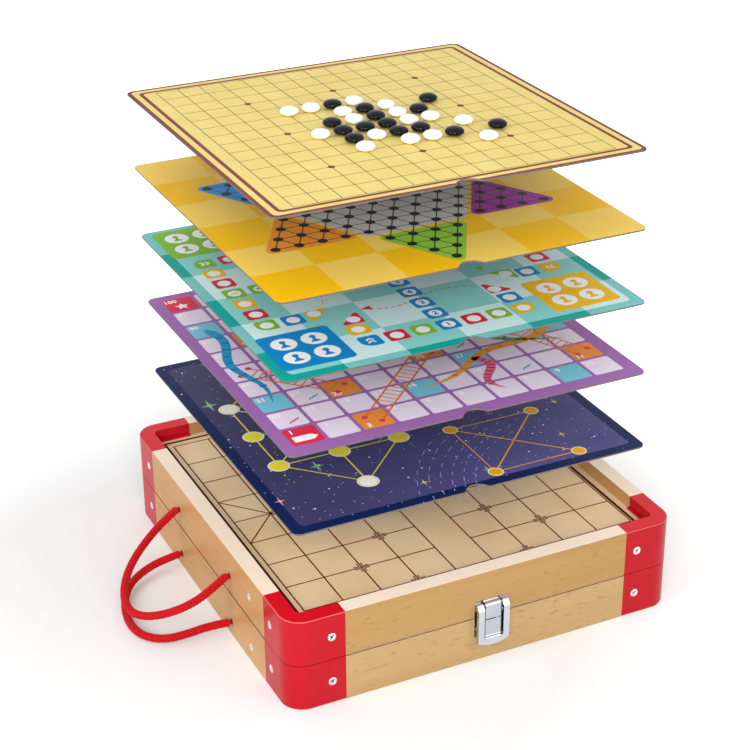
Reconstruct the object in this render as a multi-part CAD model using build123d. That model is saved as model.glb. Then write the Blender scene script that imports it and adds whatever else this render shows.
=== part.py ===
from build123d import *
import math
import os

os.makedirs("parts", exist_ok=True)

# A games compendium case: two shallow wooden halves hinged at the back, with red
# corner blocks, a rope handle on each half, a snap latch at the front and a recess
# in the lid that holds five game boards, the topmost set out with stones.
# The origin is the middle of the case's footprint on the floor, +Z is up, the
# latch faces -Y, the rope handles -X and the hinges +Y.  Lengths are millimetres.

# Case
case_side = 320.0
half_height = 37.5
split_gap = 0.4
rail_thickness = 12.6
rail_edge_radius = 0.8
corner_leg = 44.0
corner_radius = 17.0
corner_inner_radius = 4.0
corner_edge_radius = 1.2
ledge_width = 2.0
ledge_height = 1.6

# Panels, in grooves round the inside of each half
panel_thickness = 4.0
panel_tuck = 3.6
panel_fit = 0.2
recess_depth = 10.7
base_recess = 2.0

# Tongue and mortise between each rail and corner block
tongue_length = 22.0
tongue_thickness = 4.6
tongue_margin = 1.0
tongue_split_margin = 5.0
tongue_fit = 0.1

# Partitions
front_compartment_depth = 55.9
partition_thickness = 6.0
partition_gap = 0.2

# Countersunk wood screws
screw_fit = 0.05
corner_screw_head = 3.3
corner_screw_shank = 1.5
corner_screw_length = 8.4
corner_screw_inset = 33.5
corner_screw_drop = 18.6
partition_screw_length = 26.0
lid_partition_screw_drop = 3.0
base_partition_screw_rise = 7.0
small_screw_head = 1.9
small_screw_shank = 1.0
small_screw_length = 7.0

# Rope handles, knotted inside the left rail
rope_diameter = 5.0
rope_hole_clearance = 0.1
rope_hole_spread = 106.0
rope_hole_centre_y = 3.0
lid_rope_drop = 7.3
base_rope_rise = 6.0
rope_stub_gap = 0.2
rope_knot_radius = 5.4

# Butt hinges on the back rail, each ending where a corner block begins
hinge_width = 42.0
hinge_leaf_height = 18.0
hinge_leaf_thickness = 1.4
hinge_knuckle_radius = 3.4
hinge_knuckle_gap = 0.3
hinge_axis_out = 3.8
hinge_pin_radius = 1.5
hinge_pin_fit = 0.02
hinge_running_fit = 0.06
hinge_screw_spread = 26.0
hinge_screw_rise = 12.5

# Snap latch on the front rail
latch_width = 26.0
latch_plate_thickness = 1.0
latch_plate_above_curl = 0.5
latch_plate_below_strap = 1.1
latch_plate_split = 0.45
latch_sheet = 1.2
latch_strap_width = 14.4
latch_strap_drop = 14.9
latch_pin_radius = 1.0
latch_pin_out = 3.3
latch_pin_rise = 11.3
latch_curl_radius = 2.2
latch_boss_radius = 2.0
latch_running_fit = 0.05
bail_gap = 0.7
bail_depth = 3.0
bail_front_out = 7.2
bail_arm_inset = 0.2
bail_keeper_gap = 0.5
bail_lip_depth = 3.1
bail_lip_sag = 3.2
bail_tongue_clearance = 0.4
latch_screw_edge = 2.7
latch_screw_inset = 6.5

# Game boards, in the order they lie in the recess, and the heights of their tops
board_side = 286.6
board_thickness = 1.2
board_corner_radius = 6.0
notch_width = 19.0
notch_depth = 6.9
notch_round = 3.0
go_board_shift_x = -2.29
go_board_shift_y = 21.74
star_board_top = 132.6
snakes_board_top = 192.1
ludo_board_top = 247.0
checkers_board_top = 303.0
go_board_top = 361.1

# Go grid and stones, placed on the grid as (column, row) counted from the centre
grid_pitch_x = 17.55
grid_pitch_y = 18.75
stone_diameter = 13.4
stone_thickness = 6.8
stone_rim_height = 3.0
stone_bevel = 0.5
stone_foot_radius = 2.6
white_places = [
    (-3, -1), (-3, 2), (-2, -3), (-2, 2), (-1, -2), (-1, 0), (-1, 1), (0, -3),
    (0, 2), (1, -3), (1, -1), (1, 0), (1, 1), (2, -1), (3, -4), (3, -2),
]
black_places = [
    (-2, -2), (-2, -1), (-2, 0), (-1, -1), (-1, 2), (0, -2), (0, -1), (0, 0),
    (0, 1), (1, -2), (2, -3), (2, 0), (3, 1), (4, -3),
]

# Playing pieces kept in the front compartment of the base
disc_diameter = 24.0
disc_thickness = 6.8
disc_gap = 0.15
discs_in_stack = 4
stacks_of_a_colour = 4
stack_pitch = 26.0
stack_end_gap = 7.4
die_side = 14.0
die_bevel = 1.4
die_pitch = 18.0

# How far a cutting tool runs past the face that it opens
overrun = 1.0

# Lengths that follow from the sizes above
half_side = case_side / 2
inner_half = half_side - rail_thickness
split_z = half_height
case_height = 2 * half_height
base_top = split_z - split_gap / 2
lid_bottom = split_z + split_gap / 2
lid_panel_top = case_height - recess_depth
lid_panel_bottom = lid_panel_top - panel_thickness
base_panel_top = base_recess + panel_thickness
rail_length = case_side - 2 * corner_leg
front_face = -half_side
back_face = half_side
left_face = -half_side
right_face = half_side
inner_left = -inner_half
tongue_side = (rail_thickness - tongue_thickness) / 2
partition_y = -inner_half + front_compartment_depth + partition_thickness / 2


def box(x0, x1, y0, y1, z0, z1):
    """A block between six faces."""
    centre = Pos((x0 + x1) / 2, (y0 + y1) / 2, (z0 + z1) / 2)
    return centre * Box(abs(x1 - x0), abs(y1 - y0), abs(z1 - z0))


def tube_along_x(x0, x1, y, z, radius):
    """A round bar along X between two faces."""
    return Pos((x0 + x1) / 2, y, z) * Rot(0, 90, 0) * Cylinder(radius, x1 - x0)


def screw(head_radius, shank_radius, length, fit=0.0):
    """A countersunk screw below the plane z = 0, or its hole when fit is given."""
    head = head_radius + fit
    shank = shank_radius + fit
    taper = head_radius - shank_radius
    outline = Polyline(
        (0, 0), (head, 0), (shank, -taper), (shank, -length - fit), (0, -length - fit), (0, 0)
    )
    return revolve(Plane.XZ * make_face(outline), Axis.Z)


def on_face(x, y, z, outward):
    """The place on a face where local +Z points outward."""
    return Plane(origin=(x, y, z), z_dir=outward).location


class Half:
    """Heights of the features of one half of the case."""

    def __init__(self, name, low, high, panel_bottom, screw_z, partition_screw_z, rope_z):
        self.name = name
        self.low = low
        self.high = high
        self.panel_bottom = panel_bottom
        self.panel_top = panel_bottom + panel_thickness
        self.screw_z = screw_z
        self.partition_screw_z = partition_screw_z
        self.rope_z = rope_z


base = Half(
    "base",
    0.0,
    base_top,
    base_recess,
    corner_screw_drop,
    base_panel_top + base_partition_screw_rise,
    base_panel_top + base_rope_rise,
)
lid = Half(
    "lid",
    lid_bottom,
    case_height,
    lid_panel_bottom,
    case_height - corner_screw_drop,
    lid_panel_bottom - lid_partition_screw_drop,
    lid_panel_bottom - lid_rope_drop,
)


def tongue_span(half):
    """The tongue's lowest and highest z, clear of the panel's groove."""
    if half is lid:
        return half.low + tongue_split_margin, half.panel_bottom - tongue_margin
    return half.panel_top + tongue_margin, half.high - tongue_split_margin


def groove_cutter(half):
    """The slot that takes the panel's rim."""
    reach = inner_half + panel_tuck
    return box(
        -reach, reach, -reach, reach, half.panel_bottom - panel_fit / 4, half.panel_top + panel_fit / 4
    )


def screw_places(half):
    """Where the corner screws go: two in each corner block."""
    along = half_side - corner_screw_inset
    places = []
    for side in (-1, 1):
        places.append(on_face(side * along, front_face, half.screw_z, (0, -1, 0)))
        places.append(on_face(side * along, back_face, half.screw_z, (0, 1, 0)))
        places.append(on_face(left_face, side * along, half.screw_z, (-1, 0, 0)))
        places.append(on_face(right_face, side * along, half.screw_z, (1, 0, 0)))
    return places


def partition_screw_places(half):
    """One screw through the left rail and one through the right rail."""
    z = half.partition_screw_z
    return [
        on_face(left_face, partition_y, z, (-1, 0, 0)),
        on_face(right_face, partition_y, z, (1, 0, 0)),
    ]


def hinge_screw_places(half):
    """Two screws in each hinge leaf."""
    side = 1 if half is lid else -1
    z = split_z + side * hinge_screw_rise
    places = []
    for x in (-hinge_x, hinge_x):
        for offset in (-hinge_screw_spread / 2, hinge_screw_spread / 2):
            places.append(on_face(x + offset, back_face + hinge_leaf_thickness, z, (0, 1, 0)))
    return places


def latch_screw_places(half):
    """Two screws in each latch plate, behind the bail's arms."""
    if half is lid:
        z = latch_plate_top - latch_screw_inset
    else:
        z = latch_plate_bottom + latch_screw_inset
    places = []
    for x in (-latch_width / 2 + latch_screw_edge, latch_width / 2 - latch_screw_edge):
        places.append(on_face(x, front_face - latch_plate_thickness, z, (0, -1, 0)))
    return places


def group(places, solid):
    """Separate copies of one solid."""
    return Compound(children=[place * solid for place in places])


def cut_all(body, places, cutter):
    """A body with the same cutter taken out at several places."""
    for place in places:
        body = body - place * cutter
    return body


corner_screw = screw(corner_screw_head, corner_screw_shank, corner_screw_length)
corner_hole = screw(corner_screw_head, corner_screw_shank, corner_screw_length, screw_fit)
partition_screw = screw(corner_screw_head, corner_screw_shank, partition_screw_length)
partition_hole = screw(
    corner_screw_head, corner_screw_shank, partition_screw_length, screw_fit
)
small_screw = screw(small_screw_head, small_screw_shank, small_screw_length)
small_hole = screw(small_screw_head, small_screw_shank, small_screw_length, screw_fit)

# The four rails of each half.  One rail is drawn along X at the front and turned
# to its side; the holes are cut where it ends up.
SIDES = {"front": 0, "right": 90, "back": 180, "left": 270}


def rail(half, side):
    """A rail with rounded long edges, a tongue at each end and the panel's groove."""
    body = box(
        -rail_length / 2, rail_length / 2, front_face, front_face + rail_thickness, half.low, half.high
    )
    outer = body.edges().filter_by(Axis.X)
    body = fillet(outer.filter_by(lambda e: e.center().Y < front_face + 0.1), rail_edge_radius)
    tongue_low, tongue_high = tongue_span(half)
    reach = rail_length / 2 + tongue_length
    body += box(
        -reach,
        reach,
        front_face + tongue_side,
        front_face + tongue_side + tongue_thickness,
        tongue_low,
        tongue_high,
    )
    body = Rot(0, 0, SIDES[side]) * body
    body = body - groove_cutter(half)
    body = cut_all(body, screw_places(half), corner_hole)
    if side in ("left", "right"):
        body = cut_all(body, partition_screw_places(half), partition_hole)
    if side == "left":
        for y in rope_hole_ys():
            body -= rope_hole(y, half.rope_z)
    if side == "back":
        body = cut_all(body, hinge_screw_places(half), small_hole)
    if side == "front":
        body = cut_all(body, latch_screw_places(half), small_hole)
    return body


def rope_hole_ys():
    """The two holes of a rope handle."""
    return (
        rope_hole_centre_y + rope_hole_spread / 2,
        rope_hole_centre_y - rope_hole_spread / 2,
    )


def rope_hole(y, z):
    """A drilled hole through the left rail."""
    return tube_along_x(
        left_face - overrun, inner_left + overrun, y, z, rope_diameter / 2 + rope_hole_clearance
    )


# Corner blocks: an L in plan with a big outer round and a small inner one.
CORNERS = {"front_left": 0, "front_right": 90, "back_right": 180, "back_left": 270}


def corner_outline(thickness, inner_radius):
    """The L of a corner block at the front left."""
    a = half_side
    outline = Polyline(
        (-a, -a),
        (-a + corner_leg, -a),
        (-a + corner_leg, -a + thickness),
        (-a + thickness, -a + thickness),
        (-a + thickness, -a + corner_leg),
        (-a, -a + corner_leg),
        (-a, -a),
    )
    face = make_face(outline)
    outer = face.vertices().sort_by(lambda v: v.X + v.Y)[0]
    face = fillet(outer, corner_radius)
    inner = face.vertices().filter_by(
        lambda v: abs(v.X + a - thickness) < 0.01 and abs(v.Y + a - thickness) < 0.01
    )
    return fillet(inner, inner_radius)


def corner_block(half, corner):
    """A corner block with mortises for two tongues, the panel's groove and screw holes."""
    height = half.high - half.low
    body = Pos(0, 0, half.low) * extrude(corner_outline(rail_thickness, corner_inner_radius), height)
    rim = body.edges().filter_by(
        lambda e: abs(e.center().Z - (half.high if half is lid else half.low)) < 0.01
        and min(e.center().X, e.center().Y) < -half_side + corner_radius / 2
        and e.length > corner_radius
    )
    body = fillet(rim, corner_edge_radius)
    if half is lid:
        ledge = extrude(
            corner_outline(rail_thickness + ledge_width, corner_inner_radius), ledge_height
        )
        body += Pos(0, 0, half.panel_top) * ledge
    tongue_low, tongue_high = tongue_span(half)
    start = -half_side + corner_leg - tongue_length - tongue_fit
    end = -half_side + corner_leg + overrun
    mortise = box(
        start,
        end,
        front_face + tongue_side - tongue_fit,
        front_face + tongue_side + tongue_thickness + tongue_fit,
        tongue_low - tongue_fit,
        tongue_high + tongue_fit,
    )
    body -= mortise
    body -= mirror(mortise, Plane(origin=(0, 0, 0), z_dir=(1, -1, 0)))
    body = Rot(0, 0, CORNERS[corner]) * body
    body = body - groove_cutter(half)
    return cut_all(body, screw_places(half), corner_hole)


def panel(half):
    """The thin board that closes a half, held in the grooves."""
    reach = inner_half + panel_tuck - panel_fit
    body = box(-reach, reach, -reach, reach, half.panel_bottom, half.panel_top)
    return body


def partition(half):
    """The strip that divides a half into two compartments."""
    if half is lid:
        z0, z1 = half.low + partition_gap, half.panel_bottom
    else:
        z0, z1 = half.panel_top, half.high - partition_gap
    body = box(
        -inner_half,
        inner_half,
        partition_y - partition_thickness / 2,
        partition_y + partition_thickness / 2,
        z0,
        z1,
    )
    return cut_all(body, partition_screw_places(half), partition_hole)


def rope_ends(half):
    """The rope through the rail and the knot that holds it inside."""
    solids = []
    for y in rope_hole_ys():
        stub = tube_along_x(
            left_face - rope_stub_gap, inner_left + rope_knot_radius, y, half.rope_z, rope_diameter / 2
        )
        knot = Pos(inner_left + rope_knot_radius, y, half.rope_z) * Sphere(rope_knot_radius)
        solids.append(stub + knot)
    return Compound(children=solids)


# Rope handles: each hangs from its two holes, so its route is a sagging loop.
lid_rope_route = [
    (-163.0, 56.0, 53.0), (-178.0, 50.5, 47.3), (-193.0, 41.5, 41.5), (-207.0, 31.0, 35.6),
    (-219.5, 16.5, 30.0), (-228.0, -2.0, 26.0), (-230.5, -20.0, 25.0), (-224.5, -36.5, 27.3),
    (-211.0, -49.5, 33.5), (-194.0, -56.5, 41.0), (-178.0, -55.0, 47.3), (-163.0, -50.0, 53.0),
]
base_rope_route = [
    (-163.0, 56.0, 12.0), (-179.0, 56.5, 9.6), (-195.0, 51.5, 7.4), (-209.0, 42.0, 5.6),
    (-218.5, 27.0, 4.4), (-224.5, 8.5, 3.7), (-226.5, -11.5, 3.5), (-222.0, -28.5, 3.9),
    (-210.0, -41.0, 5.5), (-193.5, -44.8, 7.8), (-177.5, -45.5, 10.0), (-163.0, -50.0, 12.0),
]


def rope_path(route):
    """Straight runs joined by the largest tangent arcs that they allow."""
    points = [Vector(*p) for p in route]
    radii = []
    for before, here, after in zip(points, points[1:], points[2:]):
        turn = math.radians((here - before).get_angle(after - here))
        shorter = min((here - before).length, (after - here).length)
        radii.append(0.45 * shorter / math.tan(turn / 2))
    print("rope radii", [round(r, 1) for r in radii])
    return FilletPolyline(*points, radius=radii)


def rope(route):
    """A rope of even thickness with rounded roots, where it turns at the holes."""
    path = rope_path(route)
    section = Plane(origin=path @ 0, z_dir=path % 0) * Circle(rope_diameter / 2)
    body = sweep(section, path=path)
    expected = math.pi * (rope_diameter / 2) ** 2 * path.length
    print("rope length", round(path.length, 1), "volume ratio", round(body.volume / expected, 4))
    for end in (route[0], route[-1]):
        body += Pos(*end) * Sphere(rope_diameter / 2)
    return body


# Hinges
knuckle_length = hinge_width / 3
hinge_axis_y = back_face + hinge_axis_out
hinge_x = rail_length / 2 - hinge_width / 2


def hinge_leaf(half, x):
    """A leaf with its share of the barrel: two outer knuckles below, one middle above."""
    side = 1 if half is lid else -1
    clear = hinge_knuckle_radius + hinge_knuckle_gap
    far = split_z + side * (hinge_leaf_height + hinge_knuckle_gap)
    left = x - hinge_width / 2
    right = x + hinge_width / 2
    leaf_outer = back_face + hinge_leaf_thickness
    leaf = box(left, right, back_face, leaf_outer, split_z + side * clear, far)
    if half is lid:
        spans = [(left + knuckle_length + hinge_knuckle_gap, right - knuckle_length - hinge_knuckle_gap)]
        bore = hinge_pin_radius + hinge_running_fit
    else:
        spans = [(left, left + knuckle_length), (right - knuckle_length, right)]
        bore = hinge_pin_radius + hinge_pin_fit
    for x0, x1 in spans:
        leaf += box(x0, x1, back_face, leaf_outer, split_z + side * hinge_knuckle_gap, split_z + side * clear)
        leaf += tube_along_x(x0, x1, hinge_axis_y, split_z, hinge_knuckle_radius)
    leaf -= tube_along_x(left - overrun, right + overrun, hinge_axis_y, split_z, bore)
    return cut_all(leaf, hinge_screw_places(half), small_hole)


def hinge_pin(x):
    """The pin along the barrel."""
    return tube_along_x(
        x - hinge_width / 2, x + hinge_width / 2, hinge_axis_y, split_z, hinge_pin_radius
    )


# Latch: the bail hangs from a pin in the lid's curled strap and snaps over the
# keeper's raised strap on the base.
pin_y = front_face - latch_pin_out
latch_pin_height = split_z + latch_pin_rise
latch_plate_top = latch_pin_height + latch_curl_radius + latch_plate_above_curl
latch_strap_bottom = split_z - latch_strap_drop
latch_plate_bottom = latch_strap_bottom - latch_plate_below_strap
strap_front = pin_y - latch_curl_radius
strap_half = latch_strap_width / 2
arm_inner = strap_half + bail_gap
arm_outer = latch_width / 2 - bail_arm_inset
bail_front = front_face - bail_front_out
bail_window_bottom = latch_strap_bottom - bail_keeper_gap
bail_lip_side = bail_window_bottom - bail_lip_depth
bail_lip_bottom = bail_lip_side - bail_lip_sag
plate_front = front_face - latch_plate_thickness


def latch_plate():
    """The lid's plate with its strap curled round the pin."""
    bottom = split_z + latch_plate_split
    plate = box(-latch_width / 2, latch_width / 2, plate_front, front_face, bottom, latch_plate_top)
    plate = fillet(plate.edges().filter_by(Axis.Y).group_by(Axis.Z)[-1], latch_plate_thickness)
    curl_top = latch_pin_height + latch_curl_radius
    strap = tube_along_x(-strap_half, strap_half, pin_y, latch_pin_height, latch_curl_radius)
    strap += box(-strap_half, strap_half, pin_y, plate_front, curl_top - latch_sheet, curl_top)
    strap += box(
        -strap_half, strap_half, strap_front, strap_front + latch_sheet, bottom, latch_pin_height
    )
    strap -= tube_along_x(
        -strap_half - overrun, strap_half + overrun, pin_y, latch_pin_height, latch_pin_radius + hinge_pin_fit
    )
    return cut_all(plate + strap, latch_screw_places(lid), small_hole)


def latch_keeper():
    """The base's plate with a strap bent outward for the bail to close over."""
    top = split_z - latch_plate_split
    plate = box(-latch_width / 2, latch_width / 2, plate_front, front_face, latch_plate_bottom, top)
    plate = fillet(plate.edges().filter_by(Axis.Y).group_by(Axis.Z)[0], latch_plate_thickness)
    strap = box(
        -strap_half, strap_half, strap_front, strap_front + latch_sheet, latch_strap_bottom, top
    )
    strap += box(
        -strap_half,
        strap_half,
        strap_front,
        plate_front,
        latch_strap_bottom,
        latch_strap_bottom + latch_sheet,
    )
    return cut_all(plate + strap, latch_screw_places(base), small_hole)


def latch_pin():
    """The pin through the strap's curl and the bail's two bosses."""
    return tube_along_x(-arm_outer, arm_outer, pin_y, latch_pin_height, latch_pin_radius)


def latch_bail():
    """A flat U-shaped lever: two arms with bevelled bosses and a rounded lip."""
    bail_rear = bail_front + bail_depth
    side_view = make_face(
        Polyline(
            (bail_front, bail_lip_bottom),
            (bail_rear, bail_lip_bottom),
            (bail_rear, latch_pin_height - 0.4 * latch_boss_radius),
            (pin_y, latch_pin_height),
            (pin_y - 0.3 * latch_boss_radius, latch_pin_height + 0.95 * latch_boss_radius),
            (bail_front, latch_pin_height - latch_boss_radius),
            (bail_front, bail_lip_bottom),
        )
    )
    arms = Pos(-arm_outer, 0, 0) * extrude(Plane.YZ * side_view, 2 * arm_outer)
    arms += tube_along_x(-arm_outer, arm_outer, pin_y, latch_pin_height, latch_boss_radius)
    front_view = make_face(
        Polyline(
            (-arm_outer, bail_lip_side),
            (-arm_outer, case_height),
            (arm_outer, case_height),
            (arm_outer, bail_lip_side),
        )
        + ThreePointArc((arm_outer, bail_lip_side), (0, bail_lip_bottom), (-arm_outer, bail_lip_side))
    )
    front_prism = Pos(0, front_face, 0) * extrude(Plane.XZ * front_view, 2 * bail_front_out)
    body = arms & front_prism
    window = box(
        -arm_inner, arm_inner, bail_front - overrun, front_face, bail_window_bottom, case_height
    )
    body -= window
    body -= box(
        -arm_inner,
        arm_inner,
        strap_front - bail_tongue_clearance,
        front_face,
        bail_lip_bottom - overrun,
        bail_window_bottom + overrun,
    )
    return body - tube_along_x(
        -arm_outer - overrun, arm_outer + overrun, pin_y, latch_pin_height, latch_pin_radius + latch_running_fit
    )


# Boards
def drift(z):
    """How far a raised board stands off the case's centre, at a height."""
    share = (z - case_height) / (go_board_top - case_height)
    return go_board_shift_x * share, go_board_shift_y * share


def board(top):
    """A square board with rounded corners and a thumb notch at the front edge."""
    outline = RectangleRounded(board_side, board_side, board_corner_radius)
    edge = -board_side / 2
    half_notch = notch_width / 2
    notch = make_face(
        Polyline(
            (half_notch, edge),
            (half_notch, edge - overrun),
            (-half_notch, edge - overrun),
            (-half_notch, edge),
        )
        + ThreePointArc((-half_notch, edge), (0, edge + notch_depth), (half_notch, edge))
    )
    outline = outline - notch
    lips = outline.vertices().filter_by(
        lambda v: v.Y < edge + notch_depth and abs(v.X) < half_notch + notch_round
    )
    outline = fillet(lips, notch_round)
    x, y = drift(top)
    return Pos(x, y, top - board_thickness) * extrude(outline, board_thickness)


def cap_middle(radius, rise, top):
    """The half-way point of a dome's outline from its rim to the axis."""
    ball = (radius**2 + rise**2) / (2 * rise)
    half_angle = math.asin(radius / ball) / 2
    return ball * math.sin(half_angle), top - ball + ball * math.cos(half_angle)


def stone():
    """A domed stone with a bevelled rim and a cone below it, on a small flat foot."""
    rim = stone_diameter / 2
    shoulder = rim - stone_bevel / 2
    dome_rise = stone_thickness - stone_rim_height - stone_bevel
    outline = make_face(
        Polyline(
            (0, stone_thickness),
            (0, 0),
            (stone_foot_radius, 0),
            (rim - stone_bevel, stone_rim_height - stone_bevel),
            (rim, stone_rim_height),
            (shoulder, stone_rim_height + stone_bevel),
        )
        + ThreePointArc(
            (shoulder, stone_rim_height + stone_bevel),
            cap_middle(shoulder, dome_rise, stone_thickness),
            (0, stone_thickness),
        )
    )
    return revolve(Plane.XZ * outline, Axis.Z)


def stones(places):
    """Stones of one colour at their crossings on the topmost board."""
    x, y = drift(go_board_top)
    one = stone()
    spots = [Pos(x + i * grid_pitch_x, y + j * grid_pitch_y, go_board_top) for i, j in places]
    return group(spots, one)


# Stored pieces
compartment_y = -inner_half + front_compartment_depth / 2
stack_start_x = -inner_half + stack_end_gap + disc_diameter / 2


def disc_stacks(first):
    """Stacks of wooden game discs of one colour."""
    spots = []
    for stack in range(stacks_of_a_colour):
        x = stack_start_x + (first + stack) * stack_pitch
        for layer in range(discs_in_stack):
            z = base_panel_top + disc_thickness / 2 + layer * (disc_thickness + disc_gap)
            spots.append(Pos(x, compartment_y, z))
    return group(spots, Cylinder(disc_diameter / 2, disc_thickness))


def dice():
    """A pair of dice."""
    x = stack_start_x + 2 * stacks_of_a_colour * stack_pitch
    spots = [
        Pos(x, compartment_y + offset * die_pitch, base_panel_top + die_side / 2)
        for offset in (-0.5, 0.5)
    ]
    one = Box(die_side, die_side, die_side)
    return group(spots, chamfer(one.edges(), die_bevel))


parts = {}
for half in (base, lid):
    for side in SIDES:
        parts[f"{half.name}_{side}_rail"] = rail(half, side)
    for corner in CORNERS:
        parts[f"{half.name}_{corner}_corner"] = corner_block(half, corner)
    parts[f"{half.name}_panel"] = panel(half)
    parts[f"{half.name}_partition"] = partition(half)
    parts[f"{half.name}_corner_screws"] = group(screw_places(half), corner_screw)
    parts[f"{half.name}_partition_screws"] = group(partition_screw_places(half), partition_screw)
    parts[f"{half.name}_rope_ends"] = rope_ends(half)
    parts[f"{half.name}_hinge_leaves"] = Compound(
        children=[hinge_leaf(half, -hinge_x), hinge_leaf(half, hinge_x)]
    )
    parts[f"{half.name}_hinge_screws"] = group(hinge_screw_places(half), small_screw)

parts["hinge_pins"] = Compound(children=[hinge_pin(-hinge_x), hinge_pin(hinge_x)])
parts["lid_rope_handle"] = rope(lid_rope_route)
parts["base_rope_handle"] = rope(base_rope_route)
parts["latch_plate"] = latch_plate()
parts["latch_keeper"] = latch_keeper()
parts["latch_pin"] = latch_pin()
parts["latch_bail"] = latch_bail()
parts["latch_plate_screws"] = group(latch_screw_places(lid), small_screw)
parts["latch_keeper_screws"] = group(latch_screw_places(base), small_screw)
parts["star_board"] = board(star_board_top)
parts["snakes_board"] = board(snakes_board_top)
parts["ludo_board"] = board(ludo_board_top)
parts["checkers_board"] = board(checkers_board_top)
parts["go_board"] = board(go_board_top)
parts["black_stones"] = stones(black_places)
parts["white_stones"] = stones(white_places)
parts["red_discs"] = disc_stacks(0)
parts["black_discs"] = disc_stacks(stacks_of_a_colour)
parts["dice"] = dice()

for name, shape in parts.items():
    export_step(shape, f"parts/{name}.step")
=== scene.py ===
import math
import random

import bmesh
import bpy
from mathutils import Euler, Matrix, Vector


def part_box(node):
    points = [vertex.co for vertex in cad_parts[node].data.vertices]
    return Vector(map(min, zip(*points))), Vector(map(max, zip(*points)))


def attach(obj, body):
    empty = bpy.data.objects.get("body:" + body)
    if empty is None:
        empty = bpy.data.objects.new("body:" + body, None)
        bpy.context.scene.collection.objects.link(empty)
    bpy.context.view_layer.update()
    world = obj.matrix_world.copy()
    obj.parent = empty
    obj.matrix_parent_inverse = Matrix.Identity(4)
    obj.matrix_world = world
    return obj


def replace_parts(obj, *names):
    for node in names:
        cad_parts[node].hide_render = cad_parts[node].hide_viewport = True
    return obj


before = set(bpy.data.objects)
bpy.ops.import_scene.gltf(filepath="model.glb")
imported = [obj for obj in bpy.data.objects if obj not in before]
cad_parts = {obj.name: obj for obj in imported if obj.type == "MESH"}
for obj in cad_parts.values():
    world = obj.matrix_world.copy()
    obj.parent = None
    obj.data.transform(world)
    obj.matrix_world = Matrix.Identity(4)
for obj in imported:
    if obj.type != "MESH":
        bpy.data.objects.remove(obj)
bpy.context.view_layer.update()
MM = 0.001


# --------------------------------------
# Rails and partitions: planed beech strips with lightly broken edges, glued
# between the corner blocks.  Clear satin varnish over straight, fine grain
# with short dark ray flecks; the upward faces are painted paler as painted light.

def node(tree, kind, wires=None, **settings):
    """Adds a node, makes its settings, and joins or fills its inputs."""
    made = tree.nodes.new(kind)
    for name, value in settings.items():
        setattr(made, name, value)
    for name, value in (wires or {}).items():
        if isinstance(value, bpy.types.NodeSocket):
            tree.links.new(value, made.inputs[name])
        else:
            made.inputs[name].default_value = value
    return made


def colour(code):
    """A colour from its hex code, as linear light; anything else passes as it is."""
    if not isinstance(code, str):
        return code
    parts = [int(code[i : i + 2], 16) / 255 for i in (0, 2, 4)]
    return (*[p / 12.92 if p <= 0.04045 else ((p + 0.055) / 1.055) ** 2.4 for p in parts], 1.0)


def mixed(tree, factor, first, second):
    """The colour between two, by a factor."""
    pair = {0: factor, 6: colour(first), 7: colour(second)}
    return node(tree, "ShaderNodeMix", pair, data_type="RGBA").outputs[2]


def ramp(tree, value, low, high, start=0.0, end=1.0):
    """A value spread from one range to another, clamped."""
    spread = {0: value, 1: low, 2: high, 3: start, 4: end}
    return node(tree, "ShaderNodeMapRange", spread, clamp=True).outputs[0]


def worked(tree, operation, *values):
    """A number worked out from others."""
    return node(tree, "ShaderNodeMath", dict(enumerate(values)), operation=operation).outputs[0]


def place_on(tree):
    """Where a point of the piece is."""
    return node(tree, "ShaderNodeTexCoord").outputs["Object"]


def part_of(tree, vector, axis):
    """One part of a vector: 0 across, 1 along, 2 up."""
    return node(tree, "ShaderNodeSeparateXYZ", {0: vector}).outputs[axis]


def upward_of(tree):
    """How far the surface faces up: 1 on top, 0 on a wall, -1 underneath."""
    return part_of(tree, node(tree, "ShaderNodeNewGeometry").outputs["Normal"], 2)


def noise(tree, place, scale, detail, rough=0.5):
    """Soft random values, about 0.5 in the middle."""
    wires = {"Vector": place, "Scale": scale, "Detail": detail, "Roughness": rough}
    return node(tree, "ShaderNodeTexNoise", wires).outputs[0]


def shader_group(name, inputs, outputs):
    """An empty node group with named sockets; returns its tree, inputs and output node."""
    tree = bpy.data.node_groups.new(name, "ShaderNodeTree")
    for socket, kind, value in inputs:
        made = tree.interface.new_socket(socket, in_out="INPUT", socket_type=kind)
        made.default_value = value
    for socket, kind in outputs:
        tree.interface.new_socket(socket, in_out="OUTPUT", socket_type=kind)
    return tree, tree.nodes.new("NodeGroupInput").outputs, tree.nodes.new("NodeGroupOutput")


def surface(name, **sockets):
    """A new material whose shader starts from these socket values."""
    material = bpy.data.materials.new(name)
    material.use_nodes = True
    shader = material.node_tree.nodes["Principled BSDF"]
    for socket, value in sockets.items():
        shader.inputs[socket.replace("_", " ")].default_value = value
    return material, material.node_tree, shader


def bumped(tree, shader, height, distance, strength=1.0):
    """Joins a height to the shader's normal."""
    bump = node(tree, "ShaderNodeBump", {"Height": height, "Distance": distance, "Strength": strength})
    tree.links.new(bump.outputs[0], shader.inputs["Normal"])


def dress(material, *names):
    """Gives CAD nodes a material."""
    for name in names:
        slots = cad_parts[name].data.materials
        slots.clear()
        slots.append(material)


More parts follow.
